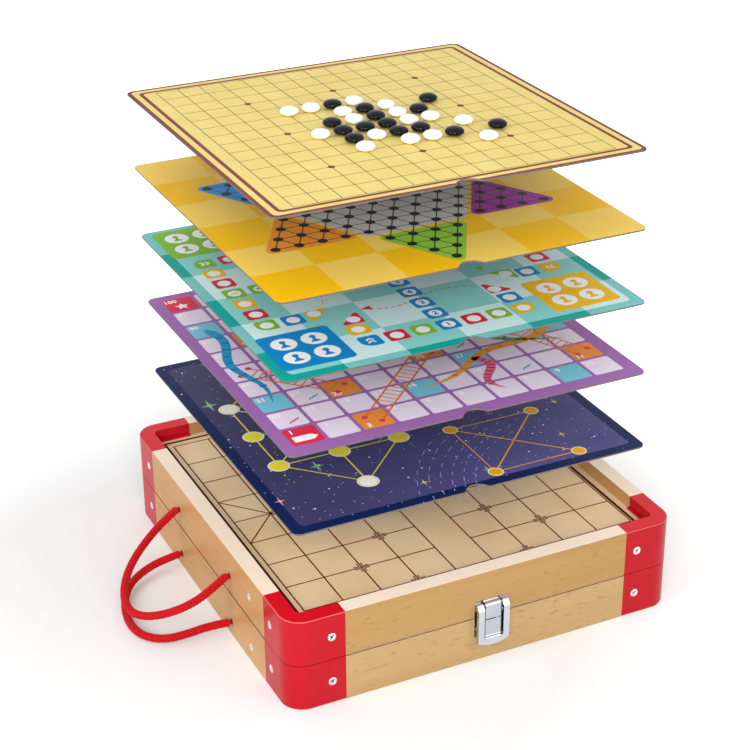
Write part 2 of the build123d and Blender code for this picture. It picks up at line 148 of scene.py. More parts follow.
wood_grain, given, result = shader_group(
    "wood_grain",
    [
        ("Stretch", "NodeSocketVector", (0.07, 1.0, 1.0)),
        ("Pale", "NodeSocketColor", (1, 1, 1, 1)),
        ("Deep", "NodeSocketColor", (0.5, 0.5, 0.5, 1)),
        ("Fleck", "NodeSocketColor", (0.2, 0.2, 0.2, 1)),
        ("Fleck Share", "NodeSocketFloat", 0.5),
    ],
    [("Color", "NodeSocketColor"), ("Roughness", "NodeSocketFloat"), ("Height", "NodeSocketFloat")],
)
drawn_out = {0: place_on(wood_grain), 1: given["Stretch"]}
along = node(wood_grain, "ShaderNodeVectorMath", drawn_out, operation="MULTIPLY").outputs[0]
SHORTER = (3.2, 1.0, 1.0)
short = node(wood_grain, "ShaderNodeVectorMath", {0: along, 1: SHORTER}, operation="MULTIPLY").outputs[0]
figure = ramp(wood_grain, noise(wood_grain, along, 34.0, 3.0), 0.3, 0.7)
fibre = ramp(wood_grain, noise(wood_grain, along, 520.0, 4.0, 0.65), 0.25, 0.75)
flecks = ramp(wood_grain, noise(wood_grain, short, 430.0, 1.0, 0.4), 0.62, 0.72)
body = mixed(wood_grain, figure, given["Pale"], given["Deep"])
body = mixed(wood_grain, ramp(wood_grain, fibre, 0.0, 1.0, 0.22, 0.0), body, given["Deep"])
body = mixed(wood_grain, worked(wood_grain, "MULTIPLY", flecks, given["Fleck Share"]), body, given["Fleck"])
wood_grain.links.new(body, result.inputs["Color"])
wood_grain.links.new(ramp(wood_grain, fibre, 0.0, 1.0, 0.42, 0.34), result.inputs["Roughness"])
wood_grain.links.new(ramp(wood_grain, flecks, 0.0, 1.0, 1.0, 0.0), result.inputs["Height"])

# Painted shade: a dark line where the two halves meet, on upright faces only, standing in for the shade in
# the gap between them.
SEAM_HEIGHT = 37.5 * MM
seam_shade_line, given, result = shader_group(
    "seam_shade_line",
    [("Half Width", "NodeSocketFloat", 0.3 * MM), ("Upward", "NodeSocketFloat", 0.0)],
    [("Mask", "NodeSocketFloat")],
)
away = worked(seam_shade_line, "SUBTRACT", part_of(seam_shade_line, place_on(seam_shade_line), 2), SEAM_HEIGHT)
near = worked(seam_shade_line, "LESS_THAN", worked(seam_shade_line, "ABSOLUTE", away), given["Half Width"])
upright = worked(seam_shade_line, "LESS_THAN", worked(seam_shade_line, "ABSOLUTE", given["Upward"]), 0.95)
seam_shade_line.links.new(worked(seam_shade_line, "MULTIPLY", near, upright), result.inputs["Mask"])


def seamed(tree, tone, upward, half_width, code):
    """A tone with the painted shade line of the seam drawn over it."""
    wires = {"Half Width": half_width, "Upward": upward}
    line = node(tree, "ShaderNodeGroup", wires, node_tree=seam_shade_line).outputs["Mask"]
    return mixed(tree, line, tone, code)


def wood(name, stretch, pale, deep, fleck, share, edge=None):
    """A varnished wood with grain along one axis, and painted top light, a paler colour on upward faces, if
    given.
    """
    material, tree, shader = surface(name, Specular_IOR_Level=0.25, Coat_Weight=0.04, Coat_Roughness=0.2)
    wires = {"Pale": colour(pale), "Deep": colour(deep), "Fleck": colour(fleck)}
    wires |= {"Stretch": stretch, "Fleck Share": share}
    grain = node(tree, "ShaderNodeGroup", wires, node_tree=wood_grain).outputs
    body = grain["Color"]
    if edge:
        upward = upward_of(tree)
        # Painted light: upward faces are mixed toward the paler colour, standing in for top light.
        body = mixed(tree, ramp(tree, upward, 0.75, 0.97), body, mixed(tree, 0.9, body, edge))
        # Painted shade along the line where lid and base meet.
        body = seamed(tree, body, upward, 0.7 * MM, "5A3414")
    tree.links.new(body, shader.inputs["Base Color"])
    tree.links.new(grain["Roughness"], shader.inputs["Roughness"])
    bumped(tree, shader, grain["Height"], 0.02 * MM, 0.35)
    return material


# PAINTED_TOP_LIGHT: the paler colour painted on upward wood faces as light.
BEECH_FLECKS, PAINTED_TOP_LIGHT = 0.42, "FFEBD6"
for half, pale, deep in (("base", "BD9E6E", "B28E5B"), ("lid", "B6905C", "AB814B")):
    along = wood(f"{half}_beech_along", (0.07, 1.0, 1.0), pale, deep, "9A6E3B", BEECH_FLECKS, PAINTED_TOP_LIGHT)
    dress(along, f"{half}_front_rail", f"{half}_back_rail", f"{half}_partition")
beech_across = wood("beech_across", (1.0, 0.07, 1.0), "C79A64", "BC8A52", "9F6F3B", BEECH_FLECKS, PAINTED_TOP_LIGHT)
dress(beech_across, "base_left_rail", "base_right_rail", "lid_left_rail", "lid_right_rail")

# --------------------------------------
# Corner blocks: hardwood turned to a big round, sprayed with thick glossy red
# lacquer.  The film is a little uneven; upward faces are painted a brighter red as
# painted light, and a painted highlight runs along the rounded top edge.

CORNERS = ("front_left", "front_right", "back_right", "back_left")
red_lacquer, tree, shader = surface(
    "red_lacquer", Roughness=0.35, Specular_IOR_Level=0.08, Coat_Weight=0.28, Coat_Roughness=0.06
)
place, upward = place_on(tree), upward_of(tree)
tone = mixed(tree, ramp(tree, noise(tree, place, 22.0, 2.0), 0.3, 0.7), "B3091A", "BA0E20")
# Painted light: faces turned up are painted a brighter red.
tone = mixed(tree, ramp(tree, upward, 0.9, 0.98), tone, "D20E21")
# Painted highlight: a pale band on the rounding between the top and the sides.
painted_edge_highlight = worked(tree, "SUBTRACT", ramp(tree, upward, 0.35, 0.5), ramp(tree, upward, 0.62, 0.8))
tone = mixed(tree, ramp(tree, painted_edge_highlight, 0.0, 1.0, 0.0, 0.45), tone, "F0A098")
# Painted shade along the line where lid and base meet.
tone = seamed(tree, tone, upward, 0.45 * MM, "6E0710")
tree.links.new(tone, shader.inputs["Base Color"])
bumped(tree, shader, noise(tree, place, 420.0, 1.0), 0.015 * MM, 0.4)
dress(red_lacquer, *[f"{half}_{corner}_corner" for half in ("base", "lid") for corner in CORNERS])

# --------------------------------------
# Panels: thin birch plywood slid into the rails' grooves.

plywood = wood("plywood", (0.1, 1.0, 1.0), "DFC59C", "CDAE80", "A98655", 0.3)
dress(plywood, "base_panel", "lid_panel")


# --------------------------------------
# Screws: zinc-plated countersunk screws with a cross recess, driven flush; two
# in each corner block, one through each rail into a partition, and small ones
# in the hinges and the latch.  Each is turned and pressed from wire.

def geometry_tree(name, sizes):
    """A geometry tree with a seed, named sizes and a material; returns its parts."""
    tree = bpy.data.node_groups.new(name, "GeometryNodeTree")
    tree.interface.new_socket("Seed", in_out="INPUT", socket_type="NodeSocketGeometry")
    for socket, kind in (*sizes, ("Material", "NodeSocketMaterial")):
        tree.interface.new_socket(socket, in_out="INPUT", socket_type=kind)
    tree.interface.new_socket("Geometry", in_out="OUTPUT", socket_type="NodeSocketGeometry")
    return tree, tree.nodes.new("NodeGroupInput").outputs, tree.nodes.new("NodeGroupOutput")


def finished(tree, geometry, material, result):
    """Ends a geometry tree in real mesh with its material."""
    real = node(tree, "GeometryNodeRealizeInstances", {0: geometry}).outputs[0]
    named = node(tree, "GeometryNodeSetMaterial", {0: real, "Material": material}).outputs[0]
    tree.links.new(named, result.inputs[0])


def put(name, data):
    """A new object in the scene."""
    made = bpy.data.objects.new(name, data)
    bpy.context.scene.collection.objects.link(made)
    return made


def result_of(maker):
    """The plain mesh that an object comes to; the object itself goes."""
    seen = maker.evaluated_get(bpy.context.evaluated_depsgraph_get())
    mesh = bpy.data.meshes.new_from_object(seen)
    bpy.data.objects.remove(maker)
    return mesh


def mesh_of(shape, name, *materials):
    """The mesh of a shape being built, which is done with, in its materials."""
    mesh = bpy.data.meshes.new(name)
    shape.to_mesh(mesh)
    shape.free()
    for material in materials:
        mesh.materials.append(material)
    return mesh


def seed_of(points, edges=(), **attributes):
    """A seed mesh of points, and of edges if given, with a value on each point."""
    seed = bpy.data.meshes.new("seed")
    seed.from_pydata(points, edges, [])
    for name, values in attributes.items():
        kind, field = ("FLOAT_VECTOR", "vector") if isinstance(values[0], Vector) else ("FLOAT", "value")
        layer = seed.attributes.new(name, kind, "POINT")
        for item, value in zip(layer.data, values):
            setattr(item, field, value)
    return seed


def grown(name, tree, seed, **sizes):
    """The plain mesh that a geometry tree makes of a seed mesh."""
    maker = put(name, seed)
    modifier = maker.modifiers.new("grow", "NODES")
    modifier.node_group = tree
    sockets = {s.name: s.identifier for s in tree.interface.items_tree if s.in_out == "INPUT"}
    for size, value in sizes.items():
        modifier[sockets[size.replace("_", " ")]] = value
    mesh = result_of(maker)
    mesh.materials.clear()
    mesh.materials.append(sizes["Material"])
    mesh.name = name
    return mesh


def piece(name, mesh, body, smooth=False):
    """A finished piece of the object that rides on a body."""
    made = put(name, mesh)
    if smooth:
        mesh.shade_smooth()
    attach(made, body)
    return made


screws_on_points, given, result = geometry_tree(
    "screws_on_points", [("Screw", "NodeSocketObject"), ("Size", "NodeSocketFloat")]
)
model = node(screws_on_points, "GeometryNodeObjectInfo", {"Object": given["Screw"]}).outputs["Geometry"]
outward, angle = (
    node(screws_on_points, "GeometryNodeInputNamedAttribute", {"Name": name}, data_type=kind).outputs[0]
    for name, kind in (("outward", "FLOAT_VECTOR"), ("angle", "FLOAT"))
)
spin = {"Axis": (0, 0, 1), "Angle": angle}
spin = node(screws_on_points, "FunctionNodeAxisAngleToRotation", spin).outputs[0]
aimed = {"Rotation": spin, "Vector": outward}
aimed = node(screws_on_points, "FunctionNodeAlignRotationToVector", aimed, axis="Z").outputs[0]
driven = {"Points": given["Seed"], "Instance": model, "Rotation": aimed, "Scale": given["Size"]}
driven = node(screws_on_points, "GeometryNodeInstanceOnPoints", driven).outputs[0]
finished(screws_on_points, driven, given["Material"], result)


def lathed(shape, profile, sides):
    """A turned wall and foot, from (radius, height) steps from top to bottom; returns its rings."""
    turn = [2 * math.pi * i / sides for i in range(sides)]
    rings = [[shape.verts.new((r * math.cos(a), r * math.sin(a), h)) for a in turn] for r, h in profile]
    for upper, lower in zip(rings, rings[1:]):
        for i in range(sides):
            j = (i + 1) % sides
            shape.faces.new((upper[i], lower[i], lower[j], upper[j]))
    shape.faces.new(list(reversed(rings[-1])))
    return rings


def screw_model(shank, length):
    """A countersunk screw of head radius 1, with its cross recess, as an unlinked object."""
    head_sides, wing, arm, floor_arm, sink, crown = 28, 0.56, 0.13, 0.08, 0.62, 0.06
    mesh = bmesh.new()
    recess = mesh.verts.layers.float.new("recess")
    profile = [(0.9, 0.0), (1.0, -crown), (shank, shank - 1.0 - crown), (shank, -length)]
    rim = lathed(mesh, profile, head_sides)[0]

    def cross(reach, width, height):
        """The corners of a cross at a height."""
        plan = [(reach, -width), (reach, width), (width, width)]
        turns = [Matrix.Rotation(quarter * math.pi / 2, 2) for quarter in range(4)]
        points = [turn @ Vector(p) for turn in turns for p in plan]
        return [mesh.verts.new((p.x, p.y, height)) for p in points]

    mouth, floor = cross(wing, arm, 0.0), cross(0.3 * wing, floor_arm, -sink)
    edges = []
    for loop in (mouth, rim):
        for pair in zip(loop, loop[1:] + loop[:1]):
            edges.append(mesh.edges.get(pair) or mesh.edges.new(pair))
    bmesh.ops.triangle_fill(mesh, edges=edges, use_beauty=True)
    for i in range(len(mouth)):
        j = (i + 1) % len(mouth)
        mesh.faces.new((mouth[i], mouth[j], floor[j], floor[i]))
    mesh.faces.new(floor)
    for vertex in floor:
        vertex[recess] = 1.0
    bmesh.ops.recalc_face_normals(mesh, faces=mesh.faces)
    return bpy.data.objects.new("screw_model", mesh_of(mesh, "screw_model"))


def mottled(tree, shader, pattern, first, second, smooth, coarse):
    """A tone and a roughness that wander between two values with a pattern; returns the tone."""
    tone = mixed(tree, ramp(tree, pattern, 0.35, 0.65), first, second)
    tree.links.new(tone, shader.inputs["Base Color"])
    tree.links.new(ramp(tree, pattern, 0.3, 0.7, smooth, coarse), shader.inputs["Roughness"])
    return tone


zinc, tree, shader = surface("zinc", Metallic=1.0)
bright = mottled(tree, shader, noise(tree, place_on(tree), 900.0, 2.0), "F0F1F4", "DADCE0", 0.2, 0.34)
# Painted shade: the cross recess is darkened toward brown-grey, where shade falls inside it.
painted_recess_shade = node(tree, "ShaderNodeAttribute", attribute_name="recess").outputs["Fac"]
tree.links.new(mixed(tree, ramp(tree, painted_recess_shade, 0.15, 0.7), bright, "5B5148"), shader.inputs["Base Color"])


def solids_of(name):
    """The separate solids of a CAD node, each as its box's low and high corners."""
    mesh = bmesh.new()
    mesh.from_mesh(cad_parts[name].data)
    bmesh.ops.remove_doubles(mesh, verts=mesh.verts, dist=1e-6)
    found, left = [], set(mesh.verts)
    while left:
        stack, island = [left.pop()], []
        while stack:
            vertex = stack.pop()
            island.append(vertex.co.copy())
            for edge in vertex.link_edges:
                other = edge.other_vert(vertex)
                if other in left:
                    left.remove(other)
                    stack.append(other)
        low = Vector([min(p[i] for p in island) for i in range(3)])
        high = Vector([max(p[i] for p in island) for i in range(3)])
        found.append((low, high))
    mesh.free()
    return sorted(found, key=lambda box: tuple(round(c, 5) for c in (box[0] + box[1])))


def drive_screws(node_name, body, shank_share, rng):
    """Detailed screws in place of a CAD node's plain ones."""
    spots, outward, angles = [], [], []
    for low, high in solids_of(node_name):
        middle, extent = (low + high) / 2, high - low
        axis = max(range(2), key=lambda i: extent[i])
        outside = high if middle[axis] > 0 else low
        direction = Vector((0, 0, 0))
        direction[axis] = math.copysign(1, middle[axis])
        middle[axis] = outside[axis]
        spots.append(middle)
        outward.append(direction)
        angles.append(rng.uniform(0.0, math.pi / 2))
        size, length = min(extent) / 2, extent[axis]
    model = screw_model(shank_share, length / size)
    seed = seed_of(spots, outward=outward, angle=angles)
    mesh = grown(f"{node_name}_made", screws_on_points, seed, Screw=model, Size=size, Material=zinc)
    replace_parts(piece(f"{node_name}_made", mesh, body), node_name)


spins = random.Random(7)
CORNER_SHANK, SMALL_SHANK = 1.5 / 3.3, 1.0 / 1.9
for half in ("base", "lid"):
    drive_screws(f"{half}_corner_screws", half, CORNER_SHANK, spins)
    drive_screws(f"{half}_partition_screws", half, CORNER_SHANK, spins)
    drive_screws(f"{half}_hinge_screws", half, SMALL_SHANK, spins)
drive_screws("latch_plate_screws", "lid", SMALL_SHANK, spins)
drive_screws("latch_keeper_screws", "base", SMALL_SHANK, spins)

# --------------------------------------
# Hinges and snap latch: folded steel sheet, bright nickel plate.  The latch's
# bail hangs from a pin in the lid plate's curl and closes over the keeper.

nickel, tree, shader = surface("nickel", Metallic=1.0)
mottled(tree, shader, noise(tree, place_on(tree), 60.0, 2.0), "DDE1EC", "D3D8E3", 0.1, 0.15)
dress(nickel, "base_hinge_leaves", "lid_hinge_leaves", "hinge_pins", "latch_pin", "latch_bail")
# Beside the strap, in the shade of the bail's arms, the sheet looks dark.
STRAP_HALF, GAP = 7.2, 0.5
strap_nickel, tree, shader = surface("strap_nickel", Metallic=1.0)
place = place_on(tree)
tone = mottled(tree, shader, noise(tree, place, 60.0, 2.0), "CFD4E0", "C8CDDA", 0.16, 0.22)
across = worked(tree, "ABSOLUTE", part_of(tree, place, 0))
beside_arms = worked(tree, "COMPARE", across, (STRAP_HALF - 0.4) * MM, GAP * MM)
tree.links.new(mixed(tree, beside_arms, tone, "4B4F5A"), shader.inputs["Base Color"])
dress(strap_nickel, "latch_keeper", "latch_plate")

# --------------------------------------
# Rope handles: round-braided red cotton cord, 5 mm thick, one on each half,
# knotted behind the left rail and hanging from its two holes.

ROPE, STRAND, STRAND_SIDES, CARRIERS = 5.0 * MM, 0.9 * MM, 6, 6
BRAID_LAY, BRAID_STEP = 16.2 * MM, 0.6 * MM
WEAVE, STRAND_WIDE, STRAND_HIGH = 0.55, 1.1, 0.72  # of a strand's thickness
lid_route = [
    (-163.0, 56.0, 53.0), (-178.0, 50.5, 47.3), (-193.0, 41.5, 41.5), (-207.0, 31.0, 35.6),
    (-219.5, 16.5, 30.0), (-228.0, -2.0, 26.0), (-230.5, -20.0, 25.0), (-224.5, -36.5, 27.3),
    (-211.0, -49.5, 33.5), (-194.0, -56.5, 41.0), (-178.0, -55.0, 47.3), (-163.0, -50.0, 53.0),
]
base_route = [
    (-163.0, 56.0, 12.0), (-179.0, 56.5, 9.6), (-195.0, 51.5, 7.4), (-209.0, 42.0, 5.6),
    (-218.5, 27.0, 4.4), (-224.5, 8.5, 3.7), (-226.5, -11.5, 3.5), (-222.0, -28.5, 3.9),
    (-210.0, -41.0, 5.5), (-193.5, -44.8, 7.8), (-177.5, -45.5, 10.0), (-163.0, -50.0, 12.0),
]


def smooth_line(name, route):
    """Points along the NURBS line whose control points are the route."""
    curve = bpy.data.curves.new(name, "CURVE")
    curve.dimensions = "3D"
    spline = curve.splines.new("NURBS")
    spline.points.add(len(route) - 1)
    for point, place in zip(spline.points, route):
        point.co = (*[c * MM for c in place], 1.0)
    spline.order_u = 3
    spline.use_endpoint_u = True
    spline.resolution_u = 24
    return [v.co.copy() for v in result_of(put(name, curve)).vertices]


def even_line(points, step):
    """The same line with evenly spaced points, and its length."""
    along = [0.0]
    for a, b in zip(points, points[1:]):
        along.append(along[-1] + (b - a).length)
    count = max(2, round(along[-1] / step))
    line, i = [], 0
    for k in range(count + 1):
        want = along[-1] * k / count
        while i < len(along) - 2 and along[i + 1] < want:
            i += 1
        share = (want - along[i]) / max(along[i + 1] - along[i], 1e-12)
        line.append(points[i].lerp(points[i + 1], min(max(share, 0.0), 1.0)))
    return line, along[-1]


def ahead_at(line, i):
    """The way along a line at one of its points, judged by the points on either side."""
    return line[min(i + 1, len(line) - 1)] - line[max(i - 1, 0)]


def frames_along(line):
    """A side and an up direction at each point, carried along without twist."""
    side = Vector((0, 0, 1)).cross(line[1] - line[0]).normalized()
    sets = []
    for i in range(len(line)):
        ahead = ahead_at(line, i).normalized()
        side = (side - ahead * side.dot(ahead)).normalized()
        sets.append((side, ahead.cross(side)))
    return sets


def braid(name, points, material):
    """A round braid: two sets of strands wound opposite ways, with rounded roots."""
    line, length = even_line(points, BRAID_STEP)
    sets = frames_along(line)
    mesh = bmesh.new()
    # proud: 1 on a strand's crest, lower on its sides and where it dips under; the rope's material paints
    # shade where it is low.
    proud = mesh.verts.layers.float.new("proud")
    core = ROPE / 2 - 0.35 * STRAND
    section = [2 * math.pi * k / STRAND_SIDES for k in range(STRAND_SIDES)]
    for way, carrier in [(way, carrier) for way in (1, -1) for carrier in range(CARRIERS)]:
        path, lifts = [], []
        for i, (centre, (side, up)) in enumerate(zip(line, sets)):
            along = length * i / (len(line) - 1)
            turn = 2 * math.pi * (carrier / CARRIERS + way * along / BRAID_LAY)
            weave = way * math.cos(CARRIERS * turn)
            outward = math.cos(turn) * side + math.sin(turn) * up
            path.append(centre + (core + WEAVE * STRAND * weave) * outward)
            lifts.append((outward, 0.75 + 0.25 * weave))
        rows = []
        for i, (spot, (outward, height)) in enumerate(zip(path, lifts)):
            ahead = ahead_at(path, i).normalized()
            across = ahead.cross(outward).normalized()
            high = across.cross(ahead)
            row = []
            for a in section:
                offset = STRAND * (STRAND_WIDE * math.cos(a) * across + STRAND_HIGH * math.sin(a) * high)
                row.append(mesh.verts.new(spot + offset))
                row[-1][proud] = max(0.0, math.sin(a)) * height
            rows.append(row)
        for one, two in zip(rows, rows[1:]):
            for k in range(STRAND_SIDES):
                j = (k + 1) % STRAND_SIDES
                mesh.faces.new((one[k], one[j], two[j], two[k]))
        mesh.faces.new(list(reversed(rows[0])))
        mesh.faces.new(rows[-1])
    for centre in (line[0], line[-1]):
        where = Matrix.Translation(centre)
        root = bmesh.ops.create_uvsphere(mesh, u_segments=20, v_segments=10, radius=ROPE / 2, matrix=where)
        for vertex in root["verts"]:
            vertex[proud] = 1.0
    bmesh.ops.recalc_face_normals(mesh, faces=mesh.faces)
    return mesh_of(mesh, name, material), line, length


rope_red, tree, shader = surface(
    "rope_red", Roughness=0.85, Specular_IOR_Level=0.15, Sheen_Weight=0.06, Sheen_Roughness=0.5
)
fluff = noise(tree, place_on(tree), 1500.0, 3.0)
tone = mixed(tree, ramp(tree, fluff, 0.3, 0.7), "B8060E", "D20C1A")
height = node(tree, "ShaderNodeAttribute", attribute_name="proud").outputs["Fac"]
# Painted shade: low parts of the strands are darkened as shade in the braid's crevices.
tone = mixed(tree, ramp(tree, height, 0.1, 0.7, 0.9, 0.0), tone, "4C0206")
tree.links.new(tone, shader.inputs["Base Color"])
bumped(tree, shader, fluff, 0.12 * MM, 0.5)
for name, route, body, stand in (
    ("lid_rope", lid_route, "lid_handle", "lid_rope_handle"),
    ("base_rope", base_route, "base_handle", "base_rope_handle"),
):
    mesh, line, length = braid(name, smooth_line(name, route), rope_red)
    rope = piece(name, mesh, body, smooth=True)
    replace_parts(rope, stand)
dress(rope_red, "base_rope_ends", "lid_rope_ends")

# --------------------------------------
# Game boards: 1.2 mm greyboard, covered on top with printed and varnished paper
# and backed in dark paper; the grey core shows all round.  A thumb notch is cut
# in the front edge of each.  Every ink is a thin layer on the one below.

INK_STEP = 0.009 * MM
FONT_SIZE, FONT_WEIGHT = 1.4, 0.05  # of a number's height
print_grain, given, result = shader_group(
    "print_grain",
    [("Color", "NodeSocketColor", (1, 1, 1, 1)), ("Mottle", "NodeSocketFloat", 0.06)],
    [("Color", "NodeSocketColor"), ("Roughness", "NodeSocketFloat"), ("Height", "NodeSocketFloat")],
)
place = place_on(print_grain)
tooth, cloud = noise(print_grain, place, 800.0, 2.0), noise(print_grain, place, 30.0, 3.0)
blotch = ramp(print_grain, worked(print_grain, "ADD", tooth, cloud), 0.7, 1.3)
depth = worked(print_grain, "MULTIPLY", blotch, given["Mottle"])
print_grain.links.new(mixed(print_grain, depth, given["Color"], (0, 0, 0, 1)), result.inputs["Color"])
print_grain.links.new(ramp(print_grain, cloud, 0.3, 0.7, 0.38, 0.5), result.inputs["Roughness"])
print_grain.links.new(tooth, result.inputs["Height"])


def printed_surface(name, ink, mottle=0.06):
    """Varnished printed paper in one ink, or in a pattern given by a function of its tree."""
    material, tree, shader = surface(name, Specular_IOR_Level=0.1)
    grain = node(tree, "ShaderNodeGroup", node_tree=print_grain)
    grain.inputs["Mottle"].default_value = mottle
    if callable(ink):
        tree.links.new(ink(tree), grain.inputs["Color"])
    else:
        grain.inputs["Color"].default_value = colour(ink)
    tree.links.new(grain.outputs["Color"], shader.inputs["Base Color"])
    tree.links.new(grain.outputs["Roughness"], shader.inputs["Roughness"])
    bumped(tree, shader, grain.outputs["Height"], 0.01 * MM, 0.2)
    return material


inks = {}


def ink(code):
    """The printed material of a hex colour, made once."""
    if code not in inks:
        inks[code] = printed_surface(f"ink_{code}", code)
    return inks[code]


greyboard, tree, shader = surface("greyboard", Roughness=0.9)
fibre = noise(tree, place_on(tree), 700.0, 4.0)
pulp = mixed(tree, ramp(tree, fibre, 0.3, 0.7), "5F554E", "7C7068")
underneath = ramp(tree, upward_of(tree), -0.9, -0.7, 1.0, 0.0)
tree.links.new(mixed(tree, underneath, pulp, "2A2C33"), shader.inputs["Base Color"])
bumped(tree, shader, fibre, 0.05 * MM, 0.4)


def stamped(tree, given, result, stamp):
    """Ends a tree that puts the same thing on every point of its seed."""
    wires = {"Points": given["Seed"], "Instance": stamp}
    placed = node(tree, "GeometryNodeInstanceOnPoints", wires).outputs[0]
    finished(tree, placed, given["Material"], result)


discs_on_points, given, result = geometry_tree("discs_on_points", [("Radius", "NodeSocketFloat")])
outline = {"Vertices": 28, "Radius": given["Radius"]}
filled = node(discs_on_points, "GeometryNodeMeshCircle", outline, fill_type="NGON").outputs[0]
stamped(discs_on_points, given, result, filled)

tiles_on_points, given, result = geometry_tree(
    "tiles_on_points", [(size, "NodeSocketFloat") for size in ("Width", "Depth", "Corner")]
)
sides = {0: given["Width"], 1: given["Depth"]}
outline = node(tiles_on_points, "GeometryNodeCurvePrimitiveQuadrilateral", sides).outputs[0]
corners = {"Curve": outline, "Count": 4, "Radius": given["Corner"]}
outline = node(tiles_on_points, "GeometryNodeFilletCurve", corners, mode="POLY").outputs[0]
filled = node(tiles_on_points, "GeometryNodeFillCurve", {0: outline}, mode="NGONS").outputs[0]
stamped(tiles_on_points, given, result, filled)

lines_on_edges, given, result = geometry_tree("lines_on_edges", [("Width", "NodeSocketFloat")])
paths = node(lines_on_edges, "GeometryNodeMeshToCurve", {0: given["Seed"]}).outputs[0]
paths = node(lines_on_edges, "GeometryNodeSetCurveNormal", {0: paths}, mode="Z_UP").outputs[0]
ends = [worked(lines_on_edges, "MULTIPLY", given["Width"], share) for share in (0.5, -0.5)]
ends = [node(lines_on_edges, "ShaderNodeCombineXYZ", {0: reach}).outputs[0] for reach in ends]
nib = node(lines_on_edges, "GeometryNodeCurvePrimitiveLine", {0: ends[0], 1: ends[1]}).outputs[0]
ribbons = node(lines_on_edges, "GeometryNodeCurveToMesh", {0: paths, 1: nib}).outputs[0]
finished(lines_on_edges, ribbons, given["Material"], result)


class Print:
    """The layers of ink on one board, drawn in millimetres from its middle."""

    def __init__(self, name, body=None):
        low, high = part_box(name)
        self.name, self.body = name, body or name
        self.centre = Vector(((low.x + high.x) / 2, (low.y + high.y) / 2, high.z))
        self.layers = []
        self.level = 0

    def spots(self, points):
        """Places on the board of points drawn in millimetres, at the present ink level."""
        return [self.centre + Vector((x * MM, y * MM, INK_STEP * self.level)) for x, y in points]

    def paper(self, material):
        """The board's own top face, raised by a paper's thickness."""
        mesh = bmesh.new()
        mesh.from_mesh(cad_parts[self.name].data)
        bmesh.ops.remove_doubles(mesh, verts=mesh.verts, dist=1e-6)
        lower = [f for f in mesh.faces if f.calc_center_median().z < self.centre.z - 1e-5]
        bmesh.ops.delete(mesh, geom=lower, context="FACES")
        self.level = 1
        bmesh.ops.translate(mesh, verts=mesh.verts, vec=(0, 0, INK_STEP))
        self.layers.append(mesh_of(mesh, f"{self.name}_paper", material))

    def stamps(self, tree, points, material, over, **sizes):
        """A layer of like stamps; over says that it goes above the last layer, not beside it."""
        self.level += over
        sizes = {size: value * MM for size, value in sizes.items()}
        seed = seed_of(self.spots(points))
        self.layers.append(grown(f"{self.name}_layer", tree, seed, Material=material, **sizes))

    def discs(self, points, radius, material, over=True):
        """A layer of filled circles."""
        self.stamps(discs_on_points, points, material, over, Radius=radius)

    def tiles(self, points, side, corner, material, over=True):
        """A layer of filled squares with rounded corners."""
        self.stamps(tiles_on_points, points, material, over, Width=side, Depth=side, Corner=corner)

    def lines(self, paths, width, material, over=True):
        """A layer of lines, each path a list of points."""
        self.level += over
        points, edges = [], []
        for path in paths:
            edges += [(len(points) + i, len(points) + i + 1) for i in range(len(path) - 1)]
            points += path
        seed = seed_of(self.spots(points), edges)
        ribbons = grown(f"{self.name}_layer", lines_on_edges, seed, Material=material, Width=width * MM)
        self.layers.append(ribbons)

    def shapes(self, outlines, material, over=True):
        """A layer of filled outlines, each a list of points turning left."""
        self.level += over
        mesh = bmesh.new()
        for outline in outlines:
            mesh.faces.new([mesh.verts.new(p) for p in self.spots(outline)])
        self.layers.append(mesh_of(mesh, f"{self.name}_layer", material))

    def words(self, entries, height, material, over=True):
        """A layer of plain numbers: (text, x, y, turn) of each one's middle."""
        self.level += over
        mesh = bmesh.new()
        for text, x, y, turn in entries:
            letters = bpy.data.curves.new("number", "FONT")
            letters.body, letters.size, letters.resolution_u = text, height * MM * FONT_SIZE, 2
            letters.align_x = letters.align_y = "CENTER"
            letters.offset = height * MM * FONT_WEIGHT
            flat = result_of(put("number", letters))
            flat.transform(Matrix.Translation(self.spots([(x, y)])[0]) @ Matrix.Rotation(turn, 4, "Z"))
            mesh.from_mesh(flat)
        self.layers.append(mesh_of(mesh, f"{self.name}_layer", material))

    def bind(self):
        """Joins the layers to one printed piece on the board's body."""
        mesh = bmesh.new()
        order = []
        for layer in self.layers:
            start = len(mesh.faces)
            mesh.from_mesh(layer)
            mesh.faces.ensure_lookup_table()
            material = layer.materials[0]
            if material not in order:
                order.append(material)
            for face in mesh.faces[start:]:
                face.material_index = order.index(material)
                if face.normal.z < 0:
                    face.normal_flip()
        name = f"{self.name}_print"
        piece(name, mesh_of(mesh, name, *order), self.body)


def square(half, corners, steps=6, x=0.0, y=0.0):
    """A square outline with rounded corners, all of one radius or each of its own."""
    radii = corners if isinstance(corners, tuple) else 4 * (corners,)
    points = []
    for quarter, (radius, right, up) in enumerate(zip(radii, (1, -1, -1, 1), (1, 1, -1, -1))):
        inset = half - radius
        for i in range(steps + 1):
            a = math.pi / 2 * (quarter + i / steps)
            points.append((x + right * inset + radius * math.cos(a), y + up * inset + radius * math.sin(a)))
    return points


def notched_square(half, corner):
    """A square outline with the thumb notch let into its front side."""
    points = square(half, corner)
    rise = HALF + NOTCH_BACK - half
    reach = NOTCH_RADIUS + 0.5
    start = math.pi - math.asin(rise / reach)
    arc = [start + (math.pi - 2 * start) * i / 12 for i in range(13)]
    notch = [(reach * math.cos(a), reach * math.sin(a) - HALF - NOTCH_BACK) for a in arc]
    return points[: 3 * len(points) // 4] + notch + points[3 * len(points) // 4 :]


